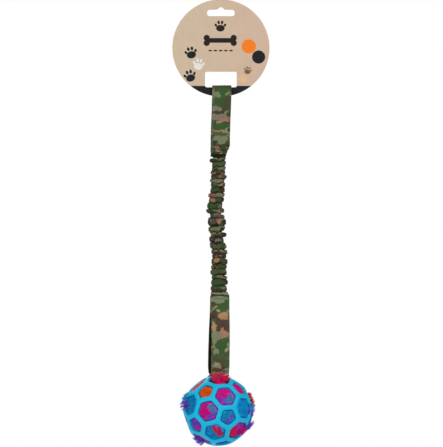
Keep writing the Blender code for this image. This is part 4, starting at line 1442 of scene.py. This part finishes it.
class Strands:
    """Strands of fibre, collected for one piece."""

    def __init__(self):
        self.points, self.faces, self.reach, self.tone = [], [], [], []

    def add(self, path, away, radius, tone):
        """One tapered strand of three sides along a path, closed at both ends. away points off the ball."""
        first = len(self.points)
        for index, point in enumerate(path[:-1]):
            along = (path[index + 1] - point).normalized()
            aside = along.cross(away).normalized()
            over = aside.cross(along)
            share = index / (len(path) - 1)
            thick = radius * (1 - 0.75 * share)
            for corner in range(3):
                angle = math.tau * corner / 3
                self.points.append(point + (aside * math.cos(angle) + over * math.sin(angle)) * thick)
                self.reach.append(share)
        self.points.append(path[-1])
        self.reach.append(1.0)
        tip = len(self.points) - 1
        self.tone += [tone] * (tip + 1 - first)
        self.faces.append((first + 2, first + 1, first))
        for ring in range(first, tip - 3, 3):
            for corner in range(3):
                beside = (corner + 1) % 3
                self.faces.append((ring + corner, ring + beside, ring + 3 + beside, ring + 3 + corner))
        for corner in range(3):
            self.faces.append((tip - 3 + corner, tip - 3 + (corner + 1) % 3, tip))

    def add_rings(self, rings, low, high):
        """A closed bed through rings of points, with a tip at each end."""
        first, count = len(self.points), len(rings[0])
        for index, ring in enumerate(rings):
            self.points += ring
            self.reach += [0.10 + 0.25 * index / len(rings)] * count
        self.points += [low, high]
        self.reach += [0.1, 0.4]
        self.tone += [0.4] * (len(self.points) - first)
        low_index, high_index = len(self.points) - 2, len(self.points) - 1
        for start in range(first, low_index - count, count):
            for k in range(count):
                beside = (k + 1) % count
                self.faces.append((start + k, start + beside, start + count + beside, start + count + k))
        for k in range(count):
            beside = (k + 1) % count
            self.faces.append((first + beside, first + k, low_index))
            self.faces.append((low_index - count + k, low_index - count + beside, high_index))

    def build(self, name, dye):
        """The piece that these strands make up, in a dye."""
        mesh = bpy.data.meshes.new(name)
        mesh.from_pydata([tuple(point) for point in self.points], [], self.faces)
        give_values(mesh, "strand_reach", self.reach)
        give_values(mesh, "strand_tone", self.tone)
        piece = add_piece(name, mesh, FURS[dye], DYE_SLOTS.get(dye, dye))
        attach(piece, "ball")
        return piece


def arch(root, tip, away, lift, sway):
    """Points of a strand from its root to its tip, arched away from the ball and swayed to a side."""
    path = []
    for step in range(STRAND_STEPS + 1):
        share = step / STRAND_STEPS
        point = root.lerp(tip, share)
        point += away * lift * math.sin(math.pi * min(share * 1.15, 1)) + sway * math.sin(math.pi * share)
        path.append(point)
    return path


def add_lock(strands, root, tip, away, lift, spread, rng):
    """Strands that start near one root, arch over and draw together at their tips."""
    sideways = away.cross(tip - root).normalized()
    curl = rng.uniform(-0.7, 0.7) * MM
    for _ in range(LOCK_STRANDS):
        start = root + sideways * rng.gauss(0, spread) + (tip - root).normalized() * rng.gauss(0, spread)
        end = tip + sideways * rng.gauss(0, spread * 0.8) + (tip - root) * (0.05 - 0.6 * rng.random() ** 2)
        rise = lift * rng.uniform(0.6, 1.25)
        sway = sideways * (curl + rng.gauss(0, 0.35 * MM))
        radius = STRAND_RADIUS * rng.uniform(0.8, 1.2)
        strands.add(arch(start, end, away, rise, sway), away, radius, rng.random())


def lay_lock(strands, dome, start, heading, length, away, rng):
    """Strands that lie side by side over a hole's bed, curl a little and draw together at their tips.

    dome puts a flat place across the hole, and a height above its bed, in the toy.
    """
    curl = rng.gauss(0, 0.8)
    raised = rng.uniform(0.2, 1.0) * MM
    for _ in range(LOCK_STRANDS):
        aside = Vector((rng.gauss(0, LOCK_SPREAD), rng.gauss(0, LOCK_SPREAD)))
        bend = heading + rng.gauss(0, 0.1)
        run = length * rng.uniform(0.75, 1.1)
        rise = raised * rng.uniform(0.4, 1.2)
        spot, path = start.copy(), []
        for step in range(STRAND_STEPS + 1):
            share = step / STRAND_STEPS
            lift = rise * math.sin(math.pi * (0.12 + 0.78 * share)) - 0.5 * MM * (1 - share) ** 5
            path.append(dome(spot + aside * (1 - 0.55 * share), lift))
            way = bend + curl * share
            spot += Vector((math.cos(way), math.sin(way))) * run / STRAND_STEPS
        strands.add(path, away, STRAND_RADIUS * rng.uniform(0.8, 1.2), rng.random())


# The bed of a hole's fur: how deep each ring lies below the ribs' outer faces, and its share of the hole
BED_RINGS = ((4.2, 1.0), (3.2, 1.0), (2.4, 0.97), (1.7, 0.90), (1.1, 0.72), (0.7, 0.42))
BED_TIP_DEPTH = 0.6
BED_FOOT_RADIUS = 30 * MM
BED_SHOULDER_RADIUS = 35.2 * MM
# How wide the bed's foot and shoulder are, as a share of the cage's face, how far off the ribs the bed stays, and
# the share of the hole's radius that the strands keep to
BED_WIDTH = 0.95
RIB_CLEARANCE = 0.3 * MM
BED_REACH = 0.97
# The beds beside the top rib leave room for the strap: how near it their holes' middles lie, as a cosine, how far
# they are shifted away and how wide they are, as shares of the hole, and the width and radius of their shoulder
NECK_NEARNESS = 0.9
NECK_BED_SHIFT = 0.26
NECK_BED_SHARE = 0.62
NECK_BED_WIDTH = 0.55
NECK_SHOULDER_RADIUS = 31.5 * MM


def bed_depth(share):
    """How deep the bed of a hole's fur lies, at a share of the hole's radius."""
    rings = [(reach, depth) for depth, reach in reversed(BED_RINGS)]
    return between([(0.0, BED_TIP_DEPTH), *rings], share) * MM


def hole_fur(node, face, mixture, rng):
    """The fur behind one hole: a soft bed and locks of strands, a piece for each colour of the mixture."""
    middle = face.calc_center_median()
    way = middle.normalized()
    corners = [vert.co.copy() for vert in face.verts]
    rim = []
    for corner, following in zip(corners, corners[1:] + corners[:1]):
        rim += [corner, corner.lerp(following, 1 / 3), corner.lerp(following, 2 / 3)]
    to_side = ((corners[0] + corners[1]) / 2 - middle).length
    hole_radius = to_side - RIB_WIDTH / 2 - RIB_CLEARANCE
    top = middle.length + RIB_DEPTH / 2
    neck_way = (Vector((RIB_X, 0, RIB_AXIS_Z)) - BALL_CENTRE).normalized()
    near_neck = way.dot(neck_way) > NECK_NEARNESS
    aside, width, shoulder = Vector(), BED_WIDTH, BED_SHOULDER_RADIUS
    if near_neck:
        aside = (way - neck_way).normalized() * to_side * NECK_BED_SHIFT
        hole_radius *= NECK_BED_SHARE
        width, shoulder = NECK_BED_WIDTH, NECK_SHOULDER_RADIUS
    spread = [(middle + (point - middle) * width).normalized() for point in rim]
    rings = [[BALL_CENTRE + point * reach for point in spread] for reach in (BED_FOOT_RADIUS, shoulder)]
    spokes = []
    for point in rim:
        spoke = (point - middle).normalized()
        reach = hole_radius if near_neck else hole_reach(spoke, middle, corners) - RIB_CLEARANCE
        spokes.append(spoke * reach)
    for depth, share in BED_RINGS:
        centre = BALL_CENTRE + way * (top - depth * MM) + aside
        rings.append([centre + spoke * share for spoke in spokes])
    tangent = (corners[0] - middle).normalized()
    other = way.cross(tangent)
    # From the front, across the hole and down it
    right = Vector((1, 0, 0)) - way * way.x
    down = Vector((0, 0, -1)) + way * way.z
    right = right.normalized() if right.length > 0.1 else tangent
    down = down.normalized() if down.length > 0.1 else other
    swirl = rng.uniform(0, math.tau)
    base = BALL_CENTRE + aside + way * top

    def dome(spot, lift):
        if spot.length > BED_REACH * hole_radius:
            spot = spot * (BED_REACH * hole_radius / spot.length)
        return base + tangent * spot.x + other * spot.y - way * (bed_depth(spot.length / hole_radius) - lift)

    piles = [Strands() for _ in mixture]
    piles[0].add_rings(rings, BALL_CENTRE + way * BED_FOOT_RADIUS, base - way * BED_TIP_DEPTH * MM)
    packed = []
    for _, off_right, off_down in mixture:
        place = (right * off_right + down * off_down) * hole_radius
        packed.append(Vector((place.dot(tangent), place.dot(other))))
    count = max(round(HOLE_LOCKS * (hole_radius / LOCKS_RADIUS) ** 2), 4)
    for index in range(count):
        reach, bearing = math.sqrt((index + 0.5) / count) * hole_radius, swirl + index * GOLDEN_TURN
        middle_spot = Vector((math.cos(bearing), math.sin(bearing))) * reach
        heading = swirl + rng.gauss(0, 0.5)
        length = hole_radius * rng.uniform(0.7, 1.2)
        start = middle_spot - Vector((math.cos(heading), math.sin(heading))) * length / 2
        nearest = min(range(len(mixture)), key=lambda pile: (middle_spot - packed[pile]).length)
        lay_lock(piles[nearest], dome, start, heading, length, way, rng)
    for index, (dye, _, _) in enumerate(mixture):
        if index and not piles[index].points:
            lay_lock(piles[index], dome, packed[index], swirl, hole_radius / 2, way, rng)
        name = f"{node}_pile" if index == 0 else f"{node}_locks_{index}"
        piece = piles[index].build(name, dye)
        if index == 0:
            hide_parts(node)


def on_ball(u, v, radius):
    """The point of a sphere about the ball's middle that a place in the photograph shows, or its nearest."""
    x, z = across(u) - BALL_CENTRE.x, up(v) - BALL_CENTRE.z
    flat = math.hypot(x, z)
    if flat > radius * 0.995:
        return BALL_CENTRE + Vector((x, -0.1 * radius, z)).normalized() * radius
    return BALL_CENTRE + Vector((x, -math.sqrt(radius * radius - flat * flat), z))


def tufts(rng):
    """Locks that stand out of the ball's sides, past its ribs."""
    for index, (first, last, first_tip, last_tip, stand, dye, locks) in enumerate(TUFTS):
        strands = Strands()
        for lock in range(locks):
            share = (lock + 0.5) / locks
            u, v = Vector(first).lerp(Vector(last), share)
            tip_u, tip_v = Vector(first_tip).lerp(Vector(last_tip), share)
            u += rng.gauss(0, TUFT_ROOT_SCATTER)
            v += rng.gauss(0, TUFT_ROOT_SCATTER)
            root = on_ball(u, v, TUFT_ROOT_RADIUS)
            tip_x = across(tip_u) + rng.gauss(0, TUFT_TIP_SCATTER) * MM
            tip_z = up(tip_v) + rng.gauss(0, TUFT_TIP_SCATTER) * MM
            flat = Vector((tip_x - BALL_CENTRE.x, 0, tip_z - BALL_CENTRE.z))
            reach = (TUFT_TIP_RADIUS + stand) * MM
            tip_y = -math.sqrt(max(reach**2 - flat.length_squared, TUFT_FRONT**2))
            tip = BALL_CENTRE + flat + Vector((0, tip_y, 0))
            away = ((root + tip) / 2 - BALL_CENTRE).normalized()
            add_lock(strands, root, tip, away, TUFT_LIFT, TUFT_SPREAD, rng)
        strands.build(f"fur_tuft_{index + 1}", dye)


def neck_fur(rng):
    """Crimson locks that come up out of the holes beside the top rib, in front of the strap's foot and behind."""
    wide = Vector((math.cos(BALL_TWIST), math.sin(BALL_TWIST), 0))
    over = Vector((-math.sin(BALL_TWIST), math.cos(BALL_TWIST), 0))
    rib = Vector((RIB_X, 0, RIB_AXIS_Z))
    strands = Strands()
    for side, shift, half_width in NECK_FUR_FACES:
        for index in range(NECK_LOCKS):
            off = 2 * (index + 0.5) / NECK_LOCKS - 1
            stand = side * (FOLD_RADIUS + STRAP_THICKNESS + NECK_FUR_STAND)
            out = rng.random()
            tip = rib + wide * (shift + off * half_width + rng.gauss(0, 1.4) * MM)
            tip += over * (stand + side * NECK_FUR_REACH * out)
            rise = NECK_FUR_HEIGHT * (1 - NECK_FUR_ROUND * off * off) * (1 - NECK_FUR_DROP * out)
            tip.z += rise + rng.gauss(0, 0.4) * MM
            root = rib + wide * off * NECK_ROOT_HALF + over * side * (NECK_ROOT_NEAR + NECK_ROOT_DEEP * out)
            flat = Vector((root.x - BALL_CENTRE.x, root.y - BALL_CENTRE.y))
            root.z = BALL_CENTRE.z + math.sqrt(NECK_ROOT_RADIUS**2 - flat.length_squared)
            add_lock(strands, root, tip, over * side, NECK_FUR_LIFT, NECK_FUR_SPREAD, rng)
    strands.build("fur_neck", "crimson_fur")


# The stuffing's radius as a share of its solid's, and its lumps: how high they are and how close together
CORE_SHARE = 0.96
CORE_LUMPS = ((0.05, 4), (0.03, 11))


def core():
    """The stuffing in the ball's middle: a lumpy round bundle."""
    low, high = (Vector(corner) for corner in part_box("fur_core"))
    centre, radius = (low + high) / 2, (high - low).x / 2
    shape = bmesh.new()
    bmesh.ops.create_icosphere(shape, subdivisions=5, radius=1)
    for vert in shape.verts:
        way = vert.co.normalized()
        lumps = sum(height * noise.noise(way * scale) for height, scale in CORE_LUMPS)
        vert.co = centre + way * radius * (CORE_SHARE + lumps)
    mesh = mesh_from(shape, "stuffing_bundle")
    piece = add_piece("stuffing_bundle", mesh, stuffing_material(), "stuffing")
    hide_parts("fur_core")
    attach(piece, "ball")


def off_hole(hole, spot):
    """How far a spot lies from the place of a hole of FRONT_FUR, as the front shows them."""
    return math.hypot(across(hole[0]) - spot.x, up(hole[1]) - spot.z)


def fur():
    """The fur behind every hole: as listed in front, and in each pad's own colour with a second one behind."""
    rng = random.Random(FUR_SEED)
    slots = {part["node"]: part["material_slot"] for part in frame["record"]["subparts"]}
    pads = {}
    for name, node in frame["nodes"].items():
        if name.startswith("fur_") and name != "fur_core":
            places = [vert.co for vert in node.data.vertices]
            pads[name] = (sum(places, Vector()) / len(places) - BALL_CENTRE).normalized()
    holes = cage()
    for name in sorted(pads):
        face = max(holes.faces, key=lambda face: face.calc_center_median().normalized().dot(pads[name]))
        spot = BALL_CENTRE + face.calc_center_median()
        mixture = None
        if spot.y < BALL_CENTRE.y:
            near = min(FRONT_FUR, key=lambda hole: off_hole(hole, spot))
            if off_hole(near, spot) < SAME_HOLE:
                mixture = near[2]
        if mixture is None:
            main = slots[name]
            second = SECOND_FUR[main]
            bearing = rng.uniform(0, math.tau)
            right, down = SECOND_FUR_OFF * math.cos(bearing), SECOND_FUR_OFF * math.sin(bearing)
            mixture = ((main, FIRST_FUR_OFF * right, FIRST_FUR_OFF * down), (second, right, down))
        hole_fur(name, face, mixture, rng)
    holes.free()
    tufts(rng)
    neck_fur(rng)


def tag():
    """The card keeps its solid, and gets its paint."""
    node = frame["nodes"]["hang_tag"]
    paint = card_material()
    node.data.materials.clear()
    node.data.materials.append(paint)


# How far the floor lies below the ball, which leaves room for the stretched toy, and how wide it is
FLOOR_BELOW = 170 * MM
FLOOR_REACH = 6.0
FLOOR_WHITE = (0.93, 0.93, 0.93, 1.0)
# The floor glows white to the eye, less so near the toy, where its shadow falls
FLOOR_NEAR = 0.35
FLOOR_FAR = 1.6
NEAR_GLOW = 1.08
NEAR_SHARE = 0.72
# How strong the surround is as a light, and to the eye
SURROUND_LIGHT = 0.38
SURROUND_WHITE = 1.0
# The lamps: the name, place, size and power of each
LAMPS = (
    ("key", (0.55, -1.5, 0.75), 0.7, 15),
    ("fill", (-1.2, -1.3, -0.1), 1.2, 7),
    ("rear", (-0.5, 1.5, 0.7), 1.0, 10),
)
LENS = 800.0
SENSOR = 36.0


def floor():
    """A wide pale floor that shows the toy's shadow on white."""
    shape = bmesh.new()
    bmesh.ops.create_circle(shape, cap_ends=True, segments=96, radius=FLOOR_REACH)
    mesh = mesh_from(shape, "floor")
    made = put_in_scene("floor", mesh)
    made.location.z = BALL_BOX[0][2] - FLOOR_BELOW
    paint = Paint("floor_white")
    tree = paint.tree
    paint.done(Base_Color=FLOOR_WHITE, Roughness=0.9)
    away = paint.node("VectorMath", {0: paint.place()}, operation="LENGTH").outputs["Value"]
    strength = paint.step(away, FLOOR_NEAR, FLOOR_FAR, NEAR_GLOW, 1.0)
    glow = paint.node("Emission", {"Color": (1.0, 1.0, 1.0, 1.0), "Strength": strength})
    rays = paint.node("LightPath")
    seen = paint.maths("MAXIMUM", rays.outputs["Is Camera Ray"], rays.outputs["Is Glossy Ray"])
    share = paint.step(away, FLOOR_NEAR, FLOOR_FAR, NEAR_SHARE, 1.0)
    mixed = paint.node("MixShader", {0: paint.maths("MULTIPLY", seen, share)})
    tree.links.new(paint.shader.outputs[0], mixed.inputs[1])
    tree.links.new(glow.outputs[0], mixed.inputs[2])
    output = next(node for node in tree.nodes if node.type == "OUTPUT_MATERIAL")
    tree.links.new(mixed.outputs[0], output.inputs["Surface"])
    mesh.materials.append(paint.material)
    made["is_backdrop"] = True


def world():
    """A white surround: full white to the eye, and softer as a light and in gloss."""
    made = bpy.data.worlds.new("surround")
    made.use_nodes = True
    tree = made.node_tree
    tree.nodes.clear()
    rays = tree.nodes.new("ShaderNodeLightPath")
    mixed = tree.nodes.new("ShaderNodeMixShader")
    output = tree.nodes.new("ShaderNodeOutputWorld")
    tree.links.new(rays.outputs["Is Camera Ray"], mixed.inputs[0])
    for place, strength in ((1, SURROUND_LIGHT), (2, SURROUND_WHITE)):
        white = tree.nodes.new("ShaderNodeBackground")
        white.inputs["Color"].default_value = (1, 1, 1, 1)
        white.inputs["Strength"].default_value = strength
        tree.links.new(white.outputs[0], mixed.inputs[place])
    tree.links.new(mixed.outputs[0], output.inputs[0])
    bpy.context.scene.world = made


def lamp(name, place, target, size, power):
    """A square soft light that faces a target."""
    data = bpy.data.lights.new(name, "AREA")
    data.size = size
    data.energy = power
    made = put_in_scene(name, data)
    made.location = place
    made.rotation_euler = (Vector(target) - Vector(place)).to_track_quat("-Z", "Y").to_euler()


def camera():
    """A long lens square to the front, framed as in the photograph."""
    data = bpy.data.cameras.new("camera")
    data.lens = LENS
    data.sensor_width = SENSOR
    made = put_in_scene("camera", data)
    distance = PHOTO_HEIGHT * PIXEL * LENS / SENSOR
    made.location = (across(PHOTO_WIDTH / 2), -distance, up(PHOTO_HEIGHT / 2))
    made.rotation_euler = (math.pi / 2, 0, 0)
    bpy.context.scene.camera = made


def stage():
    """Floor, surround, lamps and camera."""
    middle = (0, 0, (CAD_BOUNDS[0][2] + CAD_BOUNDS[1][2]) / 2)
    floor()
    world()
    for name, place, size, power in LAMPS:
        lamp(name, place, middle, size, power)
    camera()
    bpy.context.scene.view_settings.view_transform = "Standard"


THREAD = thread_material()
FURS = {name: fur_material(name) for name in FUR_DYES}

stage()
tag()
handle()
elastic()
sleeve()
hem()
loop()
tacks()
lattice()
core()
fur()

corners = {"cad": CAD_BOUNDS, "visual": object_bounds()}
{name: [list(corner) for corner in pair] for name, pair in corners.items()}
